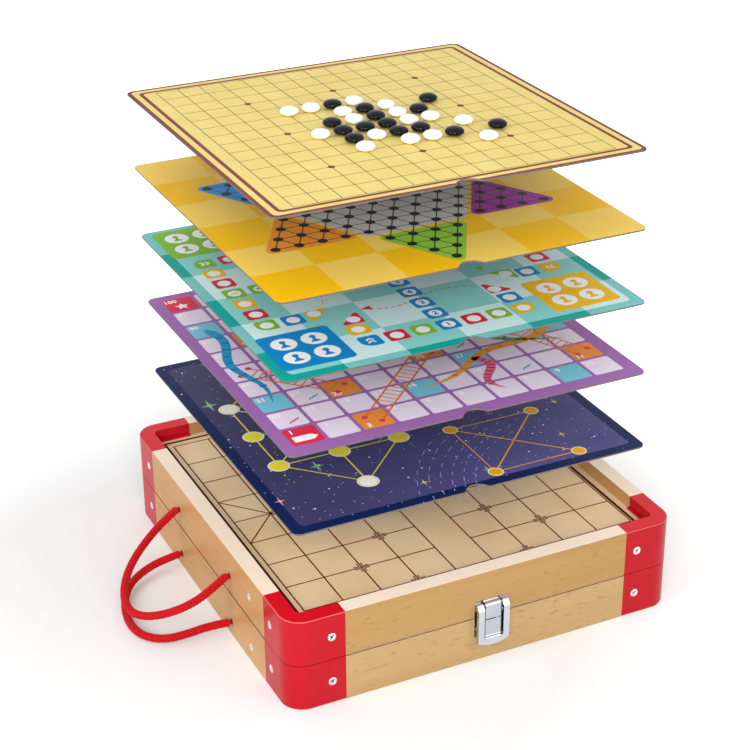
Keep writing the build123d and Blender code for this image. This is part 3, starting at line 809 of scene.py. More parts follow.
def corners_of(points):
    """Each corner of a convex outline: where it is, the way back, the way in and half its angle."""
    spots = [Vector(p) for p in points]
    for i, here in enumerate(spots):
        back = (spots[i - 1] - here).normalized()
        ahead = (spots[(i + 1) % len(spots)] - here).normalized()
        yield here, back, (back + ahead).normalized(), back.angle(ahead) / 2


def rounded(points, radius, steps=5):
    """A convex outline with its corners rounded to a radius."""
    outline = []
    for here, back, inward, half_angle in corners_of(points):
        middle = here + inward * radius / math.sin(half_angle)
        start = here + back * radius / math.tan(half_angle) - middle
        turn = (math.pi - 2 * half_angle) / steps
        outline += [tuple(middle + Matrix.Rotation(turn * k, 2) @ start) for k in range(steps + 1)]
    return outline


def moved(outline, x, y):
    """An outline drawn about its middle, moved to a place."""
    return [(x + dx, y + dy) for dx, dy in outline]


def pointed(reaches, start=0.0):
    """An outline about the middle, by its reach at each of its even turns."""
    turns = [start + 2 * math.pi * i / len(reaches) for i in range(len(reaches))]
    return [(reach * math.cos(a), reach * math.sin(a)) for reach, a in zip(reaches, turns)]


def centred(count):
    """So many whole steps, counted from the middle one or from between the middle two."""
    return [i - (count - 1) / 2 for i in range(count)]


def chequered(name, first, second, cells=6):
    """A function that makes, in a tree, a chequer of so many cells across a board."""
    low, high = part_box(name)

    def make(tree):
        """The colour of the chequer."""
        side = high.x - low.x
        start = {"Vector": place_on(tree), "Location": (-low.x, -low.y, 0.25 * side / cells)}
        flat = {0: node(tree, "ShaderNodeMapping", start).outputs[0], 1: (1, 1, 0)}
        flat = node(tree, "ShaderNodeVectorMath", flat, operation="MULTIPLY").outputs[0]
        tones = {"Color1": colour(second), "Color2": colour(first), "Scale": cells / side}
        return node(tree, "ShaderNodeTexChecker", {"Vector": flat, **tones}).outputs[0]

    return make


for board in ("star_board", "snakes_board", "ludo_board", "checkers_board", "go_board"):
    dress(greyboard, board)
HALF = (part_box("go_board")[1].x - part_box("go_board")[0].x) / 2 / MM
NOTCH_RADIUS, NOTCH_BACK = 9.99, 3.09

# The topmost board: a 15-line grid for stones, in a double frame.
go = Print("go_board")
GO_BROWN, GO_YELLOW = ink("7E3B33"), printed_surface("go_field", "EBD47F", 0.1)
go.paper(GO_BROWN)
go.shapes([notched_square(HALF - 3.0, 4.0)], GO_YELLOW)
go.shapes([square(HALF - 7.4, 4.6)], GO_BROWN)
go.shapes([square(HALF - 10.5, 2.6)], GO_YELLOW)
GO_LINES, GO_PITCH_X, GO_PITCH_Y = 15, 17.55, 18.75
reach_x, reach_y = GO_PITCH_X * (GO_LINES - 1) / 2, GO_PITCH_Y * (GO_LINES - 1) / 2
ruled = [[(-reach_x, GO_PITCH_Y * i), (reach_x, GO_PITCH_Y * i)] for i in centred(GO_LINES)]
ruled += [[(GO_PITCH_X * i, -reach_y), (GO_PITCH_X * i, reach_y)] for i in centred(GO_LINES)]
go.lines(ruled, 0.65, ink("6A5732"))
STAR_POINT_AT = (-4, 0, 4)
star_points = [(GO_PITCH_X * i, GO_PITCH_Y * j) for i in STAR_POINT_AT for j in STAR_POINT_AT]
go.discs(star_points, 2.6, ink("7A241F"))
go.bind()

# The second: a six-pointed star for pegs and marbles, on a yellow chequer.
checkers = Print("checkers_board")
checkers.paper(printed_surface("checkers_field", chequered("checkers_board", "FFC404", "FFD65E")))
STAR_X, STAR_Y, STAR_PITCH, STAR_ROW = -1.7, 5.5, 17.95, 16.35
STAR_COUNTS = (1, 2, 3, 4, 13, 12, 11, 10, 9, 10, 11, 12, 13, 4, 3, 2, 1)


def star_place(row, column):
    """A hole of the star, by its row from the middle and its column times two."""
    return STAR_X + column * STAR_PITCH / 2, STAR_Y + row * STAR_ROW


star_rows = {
    index - len(STAR_COUNTS) // 2: range(1 - count, count, 2) for index, count in enumerate(STAR_COUNTS)
}


def field(corners, margin):
    """A field of the star: its corner holes moved out by a margin and rounded."""
    spots = corners_of([star_place(*corner) for corner in corners])
    wider = [tuple(here - inward * margin / math.sin(half)) for here, _, inward, half in spots]
    return rounded(wider, 0.9 * margin)


FIELDS = (
    ("93CB3A", [(-8, 0), (-5, 3), (-5, -3)]),
    ("F79A2A", [(-4, -12), (-4, -6), (-1, -9)]),
    ("A8349F", [(-4, 6), (-4, 12), (-1, 9)]),
    ("2A9AE6", [(1, -9), (4, -6), (4, -12)]),
    ("E5352D", [(1, 9), (4, 12), (4, 6)]),
    ("17A59B", [(5, -3), (5, 3), (8, 0)]),
)
hexagon = [(-4, -4), (-4, 4), (0, 8), (4, 4), (4, -4), (0, -8)]
checkers.shapes([field(hexagon, 7.0)], ink("CFCAC5"))
for code, corners in FIELDS:
    checkers.shapes([field(corners, 6.4)], ink(code), over=False)
joined = []
for row, columns in star_rows.items():
    for column in columns:
        here = star_place(row, column)
        if column + 2 in columns:
            joined.append([here, star_place(row, column + 2)])
        for side in (-1, 1):
            if column + side in star_rows.get(row + 1, []):
                joined.append([here, star_place(row + 1, column + side)])
checkers.lines(joined, 0.9, ink("17191C"))
holes = [star_place(row, column) for row, columns in star_rows.items() for column in columns]
checkers.discs(holes, 3.7, ink("17191C"))
checkers.bind()

# The third: a racing game round a cross of coloured squares, on a teal chequer.
ludo = Print("ludo_board")
ludo.paper(printed_surface("ludo_edge", chequered("ludo_board", "05A79C", "7CCBC8")))
pale_chequer = printed_surface("ludo_field", chequered("ludo_board", "8FD9D3", "D8F5F4"))
ludo.shapes([square(HALF - 8.5, 4.0)], pale_chequer)
LUDO = {"G": ink("84C02B"), "B": ink("0889CC"), "Y": ink("F5C000"), "R": ink("DC2335")}
LUDO_X, LUDO_Y, TRACK, TRACK_PITCH, TILE = -2.7, 4.8, 116.0, 20.33, 16.0
TILE_CORNER, LEAF = 2.4, 8.5
LEAVES = {
    0: (TILE_CORNER, LEAF, TILE_CORNER, TILE_CORNER),
    6: (TILE_CORNER, TILE_CORNER, LEAF, TILE_CORNER),
}


def on_side(x, y, quarter):
    """A place of the left side, turned to the side so many quarters further round."""
    for _ in range(quarter):
        x, y = -y, x
    return LUDO_X + x, LUDO_Y + y


def outline_on_side(outline, x, y, quarter):
    """An outline about a place of the left side, turned to another side."""
    return [on_side(*spot, quarter) for spot in moved(outline, x, y)]


def chevrons():
    """Two arrow strokes one behind the other, pointing along +x."""
    upper = [(-1.2, 3.0), (0.9, 3.0), (3.1, 0.0), (1.0, 0.0)]
    lower = [(1.0, 0.0), (3.1, 0.0), (0.9, -3.0), (-1.2, -3.0)]
    return [moved(stroke, x, 0.0) for x in (-2.6, 1.4) for stroke in (upper, lower)]


TRACK_COLOURS = ("GYRGYRGBYRY", "BRGBRGYBRGB", "YRBYRBYRGBY", "RGYRGYRYGBR")
HOME_COLOURS = "GBYR"
white = ink("FBFBFA")
WEDGE = 9.8
WEDGES = {
    8: ([(-WEDGE, -WEDGE), (WEDGE, WEDGE), (-WEDGE, WEDGE)], -2.9),
    9: ([(-WEDGE, -WEDGE), (WEDGE, -WEDGE), (WEDGE, WEDGE)], 3.9),
}
near, nearer, arm = TRACK_PITCH - TRACK, 2 * TRACK_PITCH - TRACK, -3 * TRACK_PITCH
squares, cut, numbers = ({code: [] for code in LUDO} for _ in range(3))
holes, arrows = [], []
for quarter, codes in enumerate(TRACK_COLOURS):
    run = [(-TRACK, TRACK_PITCH * (3 - k)) for k in range(7)]
    run += [(near, arm), (nearer, arm), (arm, nearer), (arm, near)]
    for k, (code, (x, y)) in enumerate(zip(codes, run)):
        if k in WEDGES:
            corners, shift = WEDGES[k]
            cut[code].append(rounded(outline_on_side(corners, x + 1.0, y - 1.0, quarter), 1.8))
            holes.append(on_side(x + shift, y - shift, quarter))
        elif k in LEAVES:
            cut[code].append(outline_on_side(square(TILE / 2, LEAVES[k]), x, y, quarter))
            if k == 0:
                arrows += [outline_on_side(stroke, x, y, quarter) for stroke in chevrons()]
            else:
                holes.append(on_side(x, y, quarter))
        elif k != 3:
            squares[code].append(on_side(x, y, quarter))
            holes.append(on_side(x, y, quarter))
for quarter, code in enumerate(HOME_COLOURS):
    for k in range(5):
        x, y = on_side(-TRACK + TRACK_PITCH * k, 0.0, quarter)
        squares[code].append((x, y))
        holes.append((x, y))
        numbers[code].append((str(k + 1), x, y, (quarter - 1) * math.pi / 2))

DASH, DASH_GAP, SWAY, TIP = 3.0, 2.2, 6.5, 9.0
LINK_START, LINK_END, LINK_X = -47.0, 46.0, nearer + 9.0
for quarter, codes in enumerate(TRACK_COLOURS):
    dashes, along = [], LINK_START
    while along < LINK_END - TIP:
        stroke = []
        for y in (along, along + DASH / 3, along + 2 * DASH / 3, along + DASH):
            x = LINK_X + SWAY * math.sin(2 * math.pi * (y - LINK_START) / (LINK_END - LINK_START))
            stroke.append(on_side(x, y, quarter))
        dashes.append(stroke)
        along += DASH + DASH_GAP
    head = [(LINK_X - 3.2, LINK_END - TIP), (LINK_X + 3.2, LINK_END - TIP), (LINK_X, LINK_END)]
    ludo.lines(dashes, 1.0, LUDO[codes[8]], over=quarter == 0)
    cut[codes[8]].append(outline_on_side(head, 0.0, 0.0, quarter))
HOME_MIDDLE, HOME_SIDE, PAWN_APART = 106.0, 55.0, 11.4
pawns = {}
for quarter, code in enumerate(HOME_COLOURS):
    x, y = on_side(-HOME_MIDDLE, HOME_MIDDLE, quarter)
    cut[code].append(square(HOME_SIDE / 2, 4.0, 5, x, y))
    pawns[code] = [(x + PAWN_APART * i, y + PAWN_APART * j) for i in (-1, 1) for j in (-1, 1)]
ludo.level += 1
for code, spots in squares.items():
    ludo.tiles(spots, TILE, TILE_CORNER, LUDO[code], over=False)
    ludo.shapes(cut[code], LUDO[code], over=False)
PAWN = [(3.6, -5.2), (3.3, -3.4), (1.5, -1.6), (1.0, 1.2)]
PAWN = [(-3.6, -5.2), *PAWN, *[(-x, y) for x, y in reversed(PAWN[1:])]]
ludo.discs([spot for here in pawns.values() for spot in here], 9.4, white)
ludo.discs(holes, 5.1, white, over=False)
ludo.shapes(arrows, white, over=False)
ludo.level += 1
for code, here in pawns.items():
    ludo.shapes([moved(PAWN, x, y) for x, y in here], LUDO[code], over=False)
    ludo.discs([(x, y + 3.1) for x, y in here], 2.4, LUDO[code], over=False)
    ludo.words(numbers[code], 5.6, LUDO[code], over=False)
ludo.bind()

# The fourth: snakes and ladders, a hundred numbered squares on purple.
snakes = Print("snakes_board")
snakes.paper(ink("A26CB0"))
CELL_PITCH, CELL, CELL_CORNER, CELLS_X, CELLS_Y, CELLS = 26.8, 24.0, 1.8, -1.2, 1.7, 10


def cell(number):
    """The middle of a numbered square; the count turns back at each row's end."""
    row, column = divmod(number - 1, CELLS)
    if row % 2:
        column = CELLS - 1 - column
    middle = (CELLS - 1) / 2
    return CELLS_X + (column - middle) * CELL_PITCH, CELLS_Y + (row - middle) * CELL_PITCH


CELL_INKS = {
    "E72F50": (1, 100),
    "7CCBE2": (9, 16, 21, 27, 31, 56, 68, 80, 87),
    "F3923F": (3, 11, 23, 35, 48, 62, 76, 94),
}
picked = {number for numbers in CELL_INKS.values() for number in numbers}
plain = [cell(n) for n in range(1, CELLS**2 + 1) if n not in picked]
snakes.tiles(plain, CELL, CELL_CORNER, ink("F1E3F5"))
for code, numbers_in in CELL_INKS.items():
    snakes.tiles([cell(n) for n in numbers_in], CELL, CELL_CORNER, ink(code), over=False)
NUMBER_LEFT, NUMBER_UP, NUMBER_HEIGHT = -6.4, 7.2, 5.2
LADDER_CELLS = CELL_INKS["F3923F"]
labels = []
for n in range(1, CELLS**2 + 1):
    x, y = cell(n)
    up = -NUMBER_UP if n in LADDER_CELLS else NUMBER_UP
    labels.append((str(n), x + NUMBER_LEFT, y + up, 0.0))
snakes.words(labels, NUMBER_HEIGHT, ink("FDFBFE"))
ARROW = [(-9.0, -7.2), (5.5, -7.2), (9.6, -3.4), (5.5, 0.4), (-9.0, 0.4)]
finish_x, finish_y = cell(CELLS**2)
finish = moved(pointed(5 * (6.0, 2.6), math.pi / 2), finish_x, finish_y - 3.4)
snakes.shapes([moved(ARROW, *cell(1)), finish], ink("FFFFFF"), over=False)
for code, spots in (("2FA9D0", (13, 22, 34, 57, 75)), ("E8405A", (20, 52, 79))):
    hatching = []
    for n in spots:
        for i in (-1.5, -0.5, 0.5, 1.5):
            x, y = cell(n)[0] + 3.0 + 2.2 * i, cell(n)[1] - 4.0 + 1.1 * i
            hatching.append([(x - 1.2, y - 1.6), (x + 1.2, y + 1.6)])
    snakes.lines(hatching, 1.1, ink(code), over=False)


def left_of(ahead):
    """A direction turned a quarter to the left."""
    return Vector((-ahead.y, ahead.x))


def ladder(start, end, half_width=6.6, rung_pitch=5.7, overhang=4.0):
    """The rails and rungs of a ladder between two squares, as paths."""
    a, b = Vector(cell(start)), Vector(cell(end))
    ahead = (b - a).normalized()
    across = left_of(ahead) * half_width
    rails = [[tuple(a - across), tuple(b - across)], [tuple(a + across), tuple(b + across)]]
    count = int((b - a).length / rung_pitch)
    rungs = []
    for i in range(count):
        spot = a + ahead * (overhang + rung_pitch * (i + 0.25))
        if (spot - a).length < (b - a).length - overhang:
            rungs.append([tuple(spot - across), tuple(spot + across)])
    return rails, rungs


LADDERS = ((3, 35), (11, 32), (23, 41), (48, 62), (76, 94))
ladders = [ladder(start, end) for start, end in LADDERS]
rails = [rail for rails, _ in ladders for rail in rails]
snakes.lines([rung for _, rungs in ladders for rung in rungs], 1.3, ink("E88B3E"))
snakes.lines(rails, 1.4, ink("EA6F1C"))
snakes.discs([end for rail in rails for end in rail], 2.5, ink("E8405A"))


def snake(head, tail, bends, sway, samples=48):
    """A snake's line from its head's square to its tail's, swaying side to side."""
    a, b = Vector(cell(head)), Vector(cell(tail))
    ahead = b - a
    across = left_of(ahead).normalized()
    line = []
    for i in range(samples + 1):
        t = i / samples
        line.append(a + ahead * t + across * sway * math.sin(math.pi * bends * t) * (1 - 0.35 * t))
    return line


HEAD_SWELL, HEAD_AT, HEAD_SPREAD = 0.45, 0.03, 0.035


def snake_body(line, thick):
    """A filled body along a line: a rounded head, an even trunk and a thin tail."""
    left, right = [], []
    for i, here in enumerate(line):
        t = i / (len(line) - 1)
        across = left_of(ahead_at(line, i)).normalized()
        neck = 1.0 + HEAD_SWELL * math.exp(-(((t - HEAD_AT) / HEAD_SPREAD) ** 2))
        half = thick / 2 * neck * min(1.0, 9 * t + 0.35) * (1 - t**3) + 0.15
        left.append(here + across * half)
        right.append(here - across * half)
    sides = list(zip(left, right))
    strips = [(a, b, next_b, next_a) for (a, b), (next_a, next_b) in zip(sides, sides[1:])]
    return [[tuple(p) for p in strip] for strip in strips]


SNAKES = (
    (27, 7, 2, 9.0, "F0697C", "A8478F"),
    (31, 16, 3, 6.0, "F0A52E", "D9842B"),
    (80, 21, 3, 6.0, "1C9DD2", "1279A6"),
    (56, 30, 2, 8.0, "3DAE46", "2B8A3A"),
    (97, 68, 3, 8.0, "8E44AD", "6A2F8A"),
    (87, 66, 2, 9.0, "F0697C", "A8478F"),
)
SNAKE_THICK = 7.4
bands_of = []
snakes.level += 1
for head, tail, bends, sway, skin, spots in SNAKES:
    line = snake(head, tail, bends, sway)
    snakes.shapes(snake_body(line, SNAKE_THICK), ink(skin), over=False)
    bands = []
    for i in range(6, len(line) - 9, 4):
        ahead = (line[i + 1] - line[i]).normalized() * 1.1
        across = left_of(ahead) * 2.6
        corners = ((-1, -1), (1, -1), (1, 1), (-1, 1))
        bands.append([tuple(line[i] + ahead * a + across * b) for a, b in corners])
    bands_of.append((bands, spots))
snakes.level += 1
for bands, spots in bands_of:
    snakes.shapes(bands, ink(spots), over=False)
snakes.bind()

# The fifth: a night sky with two traditional line games, pegs on joined points.
star = Print("star_board")
star.paper(ink("0E2052"))


def sky(tree):
    """Indigo lightening to violet across the board, in slow clouds."""
    place = place_on(tree)
    violet = mixed(tree, ramp(tree, noise(tree, place, 9.0, 2.0), 0.35, 0.65), "4F4C84", "5A568C")
    return mixed(tree, ramp(tree, part_of(tree, place, 0), -120 * MM, 10 * MM), "403E66", violet)


star.shapes([square(HALF - 8.8, 4.5)], printed_surface("night_sky", sky))
speckle = random.Random(11)
star.level += 1
SKY = HALF - 4.0
SPECKS = (("D9DDF2", 330, 0.4), ("F3F4FA", 90, 0.75), ("F2C85B", 60, 0.55), ("8E86C8", 160, 0.5))
for code, count, radius in SPECKS:
    dots = [(speckle.uniform(-SKY, SKY), speckle.uniform(-SKY, SKY)) for _ in range(count)]
    dots = [(x, y) for x, y in dots if math.hypot(x, y + HALF + NOTCH_BACK) > NOTCH_RADIUS + 1.5]
    star.discs(dots, radius, ink(code), over=False)


def sparkle(x, y, reach):
    """A four-pointed star, slightly longer upward."""
    return moved(pointed([reach * share for share in 2 * (0.85, 0.22, 1.25, 0.22)]), x, y)


SPARKLES = (
    ("8CC98A", ((-126, 62, 8), (-90, -62, 7), (20, -122, 5))),
    ("E2A8B4", ((-134, -96, 5), (-60, 118, 6), (70, 60, 6))),
    ("F5D76B", ((118, -52, 4), (-30, -118, 4), (96, -100, 4))),
)
for code, places in SPARKLES:
    star.shapes([sparkle(*spot) for spot in places], ink(code), over=code == SPARKLES[0][0])
# Six rings of short strokes, shifted and of uneven length, round a point off the board.
ARCS_X, ARCS_Y, ARCS_RADIUS, ARCS_APART = 92.0, -172.0, 96, 8.5
arcs = []
for k in range(6):
    radius = ARCS_RADIUS + ARCS_APART * k
    for i in range(11):
        a = math.radians(100 + 6.2 * i + 2.7 * (k % 3))
        b = a + math.radians(1.6 + 0.9 * (i % 3))
        arcs.append([(ARCS_X + radius * math.cos(t), ARCS_Y + radius * math.sin(t)) for t in (a, b)])
star.lines(arcs, 0.4, ink("B4BADF"))
MILL_X, MILL_Y, MILL_PITCH = -65.5, 0.0, 49.2
mill = [(i, j) for i in (-1, 0, 1) for j in (-1, 0, 1)] + [(0, -2), (0, 2)]
mill = {(i, j): (MILL_X + MILL_PITCH * i, MILL_Y + MILL_PITCH * j) for i, j in mill}
MILL_LINES = (
    [(-1, -1), (0, -1), (1, -1)], [(-1, 0), (0, 0), (1, 0)], [(-1, 1), (0, 1), (1, 1)],
    [(-1, -1), (-1, 0), (-1, 1)], [(0, -2), (0, -1), (0, 0), (0, 1), (0, 2)], [(1, -1), (1, 0), (1, 1)],
    [(-1, -1), (0, 0), (1, 1)], [(-1, 1), (0, 0), (1, -1)],
    [(-1, -1), (0, -2), (1, -1)], [(-1, 1), (0, 2), (1, 1)],
)
star.lines([[mill[p] for p in path] for path in MILL_LINES], 1.2, ink("EFE13A"))
star.discs(list(mill.values()), 8.4, ink("F7F3DC"))
star.discs(list(mill.values()), 7.2, ink("FCEB45"))
star.discs([mill[(0, -2)], mill[(-1, 1)], mill[(0, 2)]], 6.6, ink("FFFEF6"))
KI_LEFT, KI_RIGHT, KI_TOP, KI_BOTTOM = 23.6, 94.3, -56.8, -127.6
ki = [(KI_LEFT, KI_TOP), (KI_RIGHT, KI_TOP), (KI_LEFT, KI_BOTTOM), (KI_RIGHT, KI_BOTTOM)]
star.level -= 3
star.lines([[ki[1], ki[0], ki[2], ki[3]], [ki[0], ki[3]], [ki[1], ki[2]]], 1.2, ink("F5A81C"), over=False)
star.discs(ki, 6.0, ink("F3EBD2"))
star.discs(ki, 5.0, ink("F8AE12"))
star.bind()

# The parchment print on the lid's panel: a river board, ruled in brown.
lid_board = Print("lid_panel", "lid")
LID_HALF, PARCHMENT_CORNER = 147.2, 3.8


def parchment(tree):
    """Tan paper clouded with age."""
    cloud = noise(tree, place_on(tree), 14.0, 4.0)
    return mixed(tree, ramp(tree, cloud, 0.3, 0.7), "FBE0B6", "EFCC9E")


BROWN = ink("66280F")
lid_board.shapes([square(LID_HALF, PARCHMENT_CORNER)], printed_surface("parchment", parchment))
RIVER_X, RIVER_Y, RANK_PITCH, FILE_PITCH, RANKS, FILES = 1.5, 0.7, 30.4, 33.3, 10, 9


def crossing(rank, file):
    """Where a rank meets a file, both counted from the middle."""
    return RIVER_X + rank * RANK_PITCH, RIVER_Y + file * FILE_PITCH


end_rank, end_file, bank = (RANKS - 1) / 2, (FILES - 1) / 2, 0.5
ruled = [[crossing(r, -end_file), crossing(r, end_file)] for r in centred(RANKS)]
for side in (-1, 1):
    ruled += [[crossing(side * bank, f), crossing(side * end_rank, f)] for f in centred(FILES)]
    for slope in (-1, 1):
        ruled.append([crossing(side * end_rank, slope), crossing(side * (end_rank - 2), -slope)])
ruled += [[crossing(-bank, side * end_file), crossing(bank, side * end_file)] for side in (-1, 1)]
lid_board.lines(ruled, 1.2, BROWN)
near, far = 1.6, 5.8
marks = []
for rank, starts in ((-2.5, (-3, 3)), (2.5, (-3, 3)), (-1.5, range(-4, 5, 2)), (1.5, range(-4, 5, 2))):
    for place, i, j in [(start, i, j) for start in starts for i in (-1, 1) for j in (-1, 1)]:
        if abs(place) < end_file or j * place < 0:
            x, y = crossing(rank, place)
            marks.append([(x + i * a, y + j * b) for a, b in ((far, near), (near, near), (near, far))])
lid_board.lines(marks, 1.2, BROWN, over=False)
FRAME = 140.7
framed = square(FRAME, 0.5, 1)
lid_board.lines([[*framed, framed[0]]], 2.8, ink("4A1A0C"), over=False)
lid_board.bind()

# --------------------------------------
# Stones: black and white glass, pressed to a lens and tumbled to a gloss.  They
# stand on crossings of the topmost board.

def round_model(name, profile, sides):
    """A round model about its middle, from (radius, height) steps given from top to bottom."""
    mesh = bmesh.new()
    mesh.faces.new(lathed(mesh, profile, sides)[0])
    bmesh.ops.recalc_face_normals(mesh, faces=mesh.faces)
    return bpy.data.objects.new(name, mesh_of(mesh, name))


models_on_points, given, result = geometry_tree("models_on_points", [("Model", "NodeSocketObject")])
model = node(models_on_points, "GeometryNodeObjectInfo", {"Object": given["Model"]}).outputs["Geometry"]
stamped(models_on_points, given, result, model)


def middles(name):
    """A seed mesh with a point in the middle of each solid of a CAD node, and one solid's size."""
    boxes = solids_of(name)
    return seed_of([(low + high) / 2 for low, high in boxes]), boxes[0][1] - boxes[0][0]


STONE_STEPS, STONE_SWELL = 18, 1.05
for name, slot, deep, pale, rough in (
    ("black_stones", "stone_black", "06080D", "0C1019", 0.12),
    ("white_stones", "stone_white", "EDEBE4", "FBFAF6", 0.2),
):
    glass, tree, shader = surface(name, Specular_IOR_Level=0.12, Coat_Weight=0.12, Coat_Roughness=0.05)
    swirl = noise(tree, place_on(tree), 260.0, 3.0)
    mottled(tree, shader, swirl, deep, pale, rough, rough + 0.12)
    bumped(tree, shader, swirl, 0.01 * MM, 0.3)
    seed, size = middles(name)
    slopes = [math.pi * (i + 0.5) / STONE_STEPS for i in range(STONE_STEPS)]
    dome = [(size.x / 2 * STONE_SWELL * math.sin(a), size.z / 2 * math.cos(a)) for a in slopes]
    model = round_model(f"{name}_model", dome, 32)
    mesh = grown(f"{name}_domed", models_on_points, seed, Model=model, Material=glass)
    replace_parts(piece(f"{name}_domed", mesh, "go_board", smooth=True), name)


# --------------------------------------
# Draughts: turned hardwood discs, stained red or black, with two turned rings on
# each face and a grooved rim.  They stack in the base's front compartment.

def disc_profile(radius, thickness):
    """A raised lip, two rings and a rim groove, mirrored about the disc's middle."""
    half = thickness / 2
    steps = [
        (0.36, half - 0.5), (0.4, half - 0.2), (0.46, half - 0.2), (0.5, half - 0.55),
        (0.74, half - 0.55), (0.78, half), (0.95, half), (1.0, half - 0.6), (1.0, 0.5), (0.975, 0.0),
    ]
    steps += [(r, -z) for r, z in reversed(steps[:-1])]
    return [(r * radius * MM, z * MM) for r, z in steps]


for name, slot, deep, pale in (
    ("red_discs", "disc_red", "8E1218", "B01C20"),
    ("black_discs", "disc_black", "15120F", "2A241F"),
):
    stain, tree, shader = surface(
        f"{slot}_stain", Coat_Weight=0.3, Coat_Roughness=0.12, Specular_IOR_Level=0.4
    )
    along = {"Vector": place_on(tree), "Scale": (0.12, 1.0, 1.0)}
    grain = noise(tree, node(tree, "ShaderNodeMapping", along).outputs[0], 900.0, 3.0)
    mottled(tree, shader, grain, deep, pale, 0.28, 0.42)
    bumped(tree, shader, grain, 0.02 * MM, 0.3)
    seed, size = middles(name)
    model = round_model(f"{name}_model", disc_profile(size.x / 2 / MM, size.z / MM), 40)
    mesh = grown(f"{name}_turned", models_on_points, seed, Model=model, Material=stain)
    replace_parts(piece(f"{name}_turned", mesh, "base"), name)

# --------------------------------------
# Dice: moulded ivory-white cubes with rounded edges and drilled, inked pips.

ivory, tree, shader = surface("ivory", Coat_Weight=0.4, Coat_Roughness=0.08)
mottled(tree, shader, noise(tree, place_on(tree), 180.0, 3.0), "F1ECDD", "FAF7EE", 0.24, 0.36)
dress(ivory, "dice")
PIPS = {
    2: [(-1, -1), (1, 1)],
    3: [(-1, -1), (0, 0), (1, 1)],
    4: [(-1, -1), (-1, 1), (1, -1), (1, 1)],
    5: [(-1, -1), (-1, 1), (1, -1), (1, 1), (0, 0)],
    6: [(-1, -1), (-1, 0), (-1, 1), (1, -1), (1, 0), (1, 1)],
}
PIP_FACES = ((6, (0, 0, 1)), (5, (0, -1, 0)), (2, (0, 1, 0)), (3, (1, 0, 0)), (4, (-1, 0, 0)))
spots, outward = [], []
for low, high in solids_of("dice"):
    middle, half_side = (low + high) / 2, (high.x - low.x) / 2
    for number, way in PIP_FACES:
        way = Vector(way)
        first = Vector((0, 0, 1)) if way.z == 0 else Vector((1, 0, 0))
        second = way.cross(first)
        for a, b in PIPS[number]:
            away = (first * a + second * b) * 0.5 * half_side
            spots.append(middle + way * (half_side + 0.02 * MM) + away)
            outward.append(way)
seed = seed_of(spots, outward=outward, angle=[0.0] * len(spots))
dome = bmesh.new()
bmesh.ops.create_circle(dome, cap_ends=True, segments=16, radius=1.0)
pip_model = bpy.data.objects.new("pip", mesh_of(dome, "pip"))
mesh = grown("dice_pips", screws_on_points, seed, Screw=pip_model, Size=1.25 * MM, Material=ink("1B1A1E"))
piece("dice_pips", mesh, "base")

# --------------------------------------
# Floor, light and camera: a white studio sweep lit all round by a pale room,
# with one lamp to the front that throws the soft shadow behind and to the right,
# and weaker ones that lift the sides.  Rays seen straight meet a white ground.

def seen_straight(tree):
    """1 for rays from the camera, a mirror or through glass."""
    path = node(tree, "ShaderNodeLightPath").outputs
    rays = worked(tree, "MAXIMUM", path["Is Camera Ray"], path["Is Glossy Ray"])
    return worked(tree, "MAXIMUM", rays, path["Is Transmission Ray"])


FLOOR_SIDE, GLOW_FROM, GLOW_NEAR, GLOW_FAR, ROOM = 12.0, (-0.14, -0.04, 0.0), 0.24, 0.7, 0.68
bpy.ops.mesh.primitive_plane_add(size=FLOOR_SIDE, location=(0, 0, 0))
floor = bpy.context.object
floor.name = "floor"
floor_white = bpy.data.materials.new("floor_white")
floor_white.use_nodes = True
tree = floor_white.node_tree
tree.nodes.clear()
matt = node(tree, "ShaderNodeBsdfDiffuse", {"Color": (0.5, 0.5, 0.5, 1)})
seen_matt = node(tree, "ShaderNodeBsdfDiffuse", {"Color": (0.82, 0.82, 0.82, 1)})
# Painted light: the floor seen straight is paler than the floor that lights the object, and glows more with
# distance from a point left of the box, so it turns white away from the box and keeps the shadow nearest
# its left.
apart = {0: place_on(tree), 1: GLOW_FROM}
distance = node(tree, "ShaderNodeVectorMath", apart, operation="DISTANCE").outputs["Value"]
glow_strength = ramp(tree, distance, GLOW_NEAR, GLOW_FAR, 0.02, 0.9)
glow = node(tree, "ShaderNodeEmission", {"Color": (1, 1, 1, 1), "Strength": glow_strength})
seen = node(tree, "ShaderNodeAddShader", {0: seen_matt.outputs[0], 1: glow.outputs[0]})
both = node(tree, "ShaderNodeMixShader", {0: seen_straight(tree), 1: matt.outputs[0], 2: seen.outputs[0]})
node(tree, "ShaderNodeOutputMaterial", {0: both.outputs[0]})
floor.data.materials.append(floor_white)

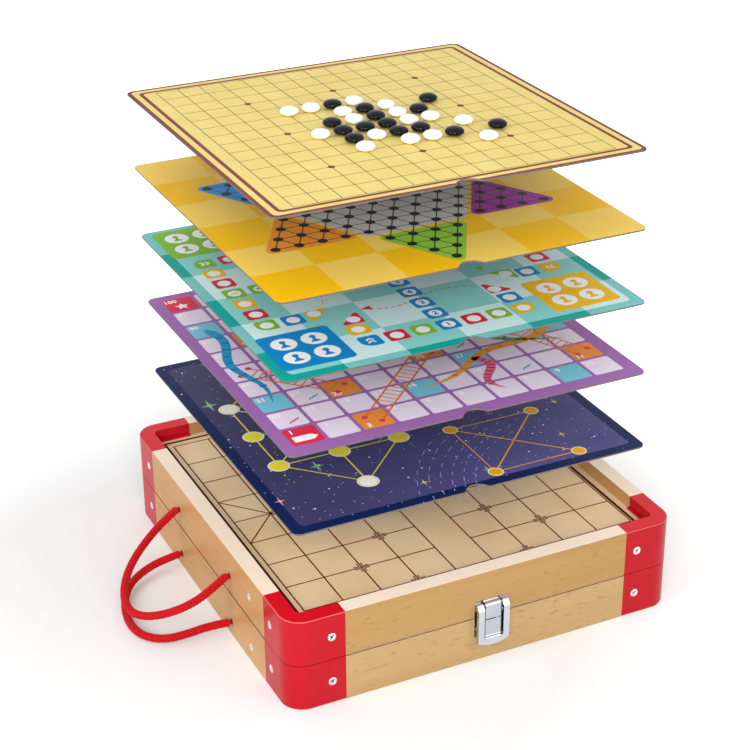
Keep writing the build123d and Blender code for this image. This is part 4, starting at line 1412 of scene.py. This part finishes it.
world = bpy.data.worlds.new("studio")
bpy.context.scene.world = world
world.use_nodes = True
tree = world.node_tree
tree.nodes.clear()
room = node(tree, "ShaderNodeBackground", {"Color": (1, 1, 1, 1), "Strength": ROOM})
wall = node(tree, "ShaderNodeBackground", {"Color": (1, 1, 1, 1), "Strength": 1.0})
both = node(tree, "ShaderNodeMixShader", {0: seen_straight(tree), 1: room.outputs[0], 2: wall.outputs[0]})
node(tree, "ShaderNodeOutputWorld", {0: both.outputs[0]})


def softbox(name, heading, height, size, power):
    """A square studio lamp, by its compass heading and height from the object, in degrees."""
    lamp = bpy.data.lights.new(name, "AREA")
    lamp.shape, lamp.size, lamp.energy = "SQUARE", size, power
    made = put(name, lamp)
    around, up = math.radians(heading), math.radians(height)
    outward = Vector((math.sin(around) * math.cos(up), math.cos(around) * math.cos(up), math.sin(up)))
    made.location = Vector((0, 0, LAMP_AIM)) + outward * LAMP_REACH
    made.rotation_euler = (-outward).to_track_quat("-Z", "Y").to_euler()


LAMP_AIM, LAMP_REACH = 0.2, 2.2
for name, heading, height, size, power in (
    ("front_lamp", 206.0, 24.0, 1.2, 35.0),
    ("left_lamp", 258.0, 20.0, 1.0, 18.0),
    ("right_lamp", 150.0, 24.0, 1.0, 7.0),
    ("back_lamp", 320.0, 55.0, 1.2, 2.0),
):
    softbox(name, heading, height, size, power)

CAMERA_PLACE = (-0.55737, -1.12747, 0.79984)
YAW, PITCH, ROLL = 0.44852, 0.46994, -0.00664
PICTURE_SIDE, FOCAL_PIXELS, SENSOR = 750, 1828.45, 36.0
lens = bpy.data.cameras.new("camera")
lens.sensor_fit = "HORIZONTAL"
lens.sensor_width = SENSOR
lens.lens = FOCAL_PIXELS / PICTURE_SIDE * SENSOR
camera = put("camera", lens)
aim = Euler((math.pi / 2 - PITCH, 0.0, -YAW)).to_matrix().to_4x4()
camera.matrix_world = Matrix.Translation(CAMERA_PLACE) @ aim @ Matrix.Rotation(ROLL, 4, "Z")
bpy.context.scene.camera = camera
bpy.context.scene.view_settings.view_transform = "Standard"
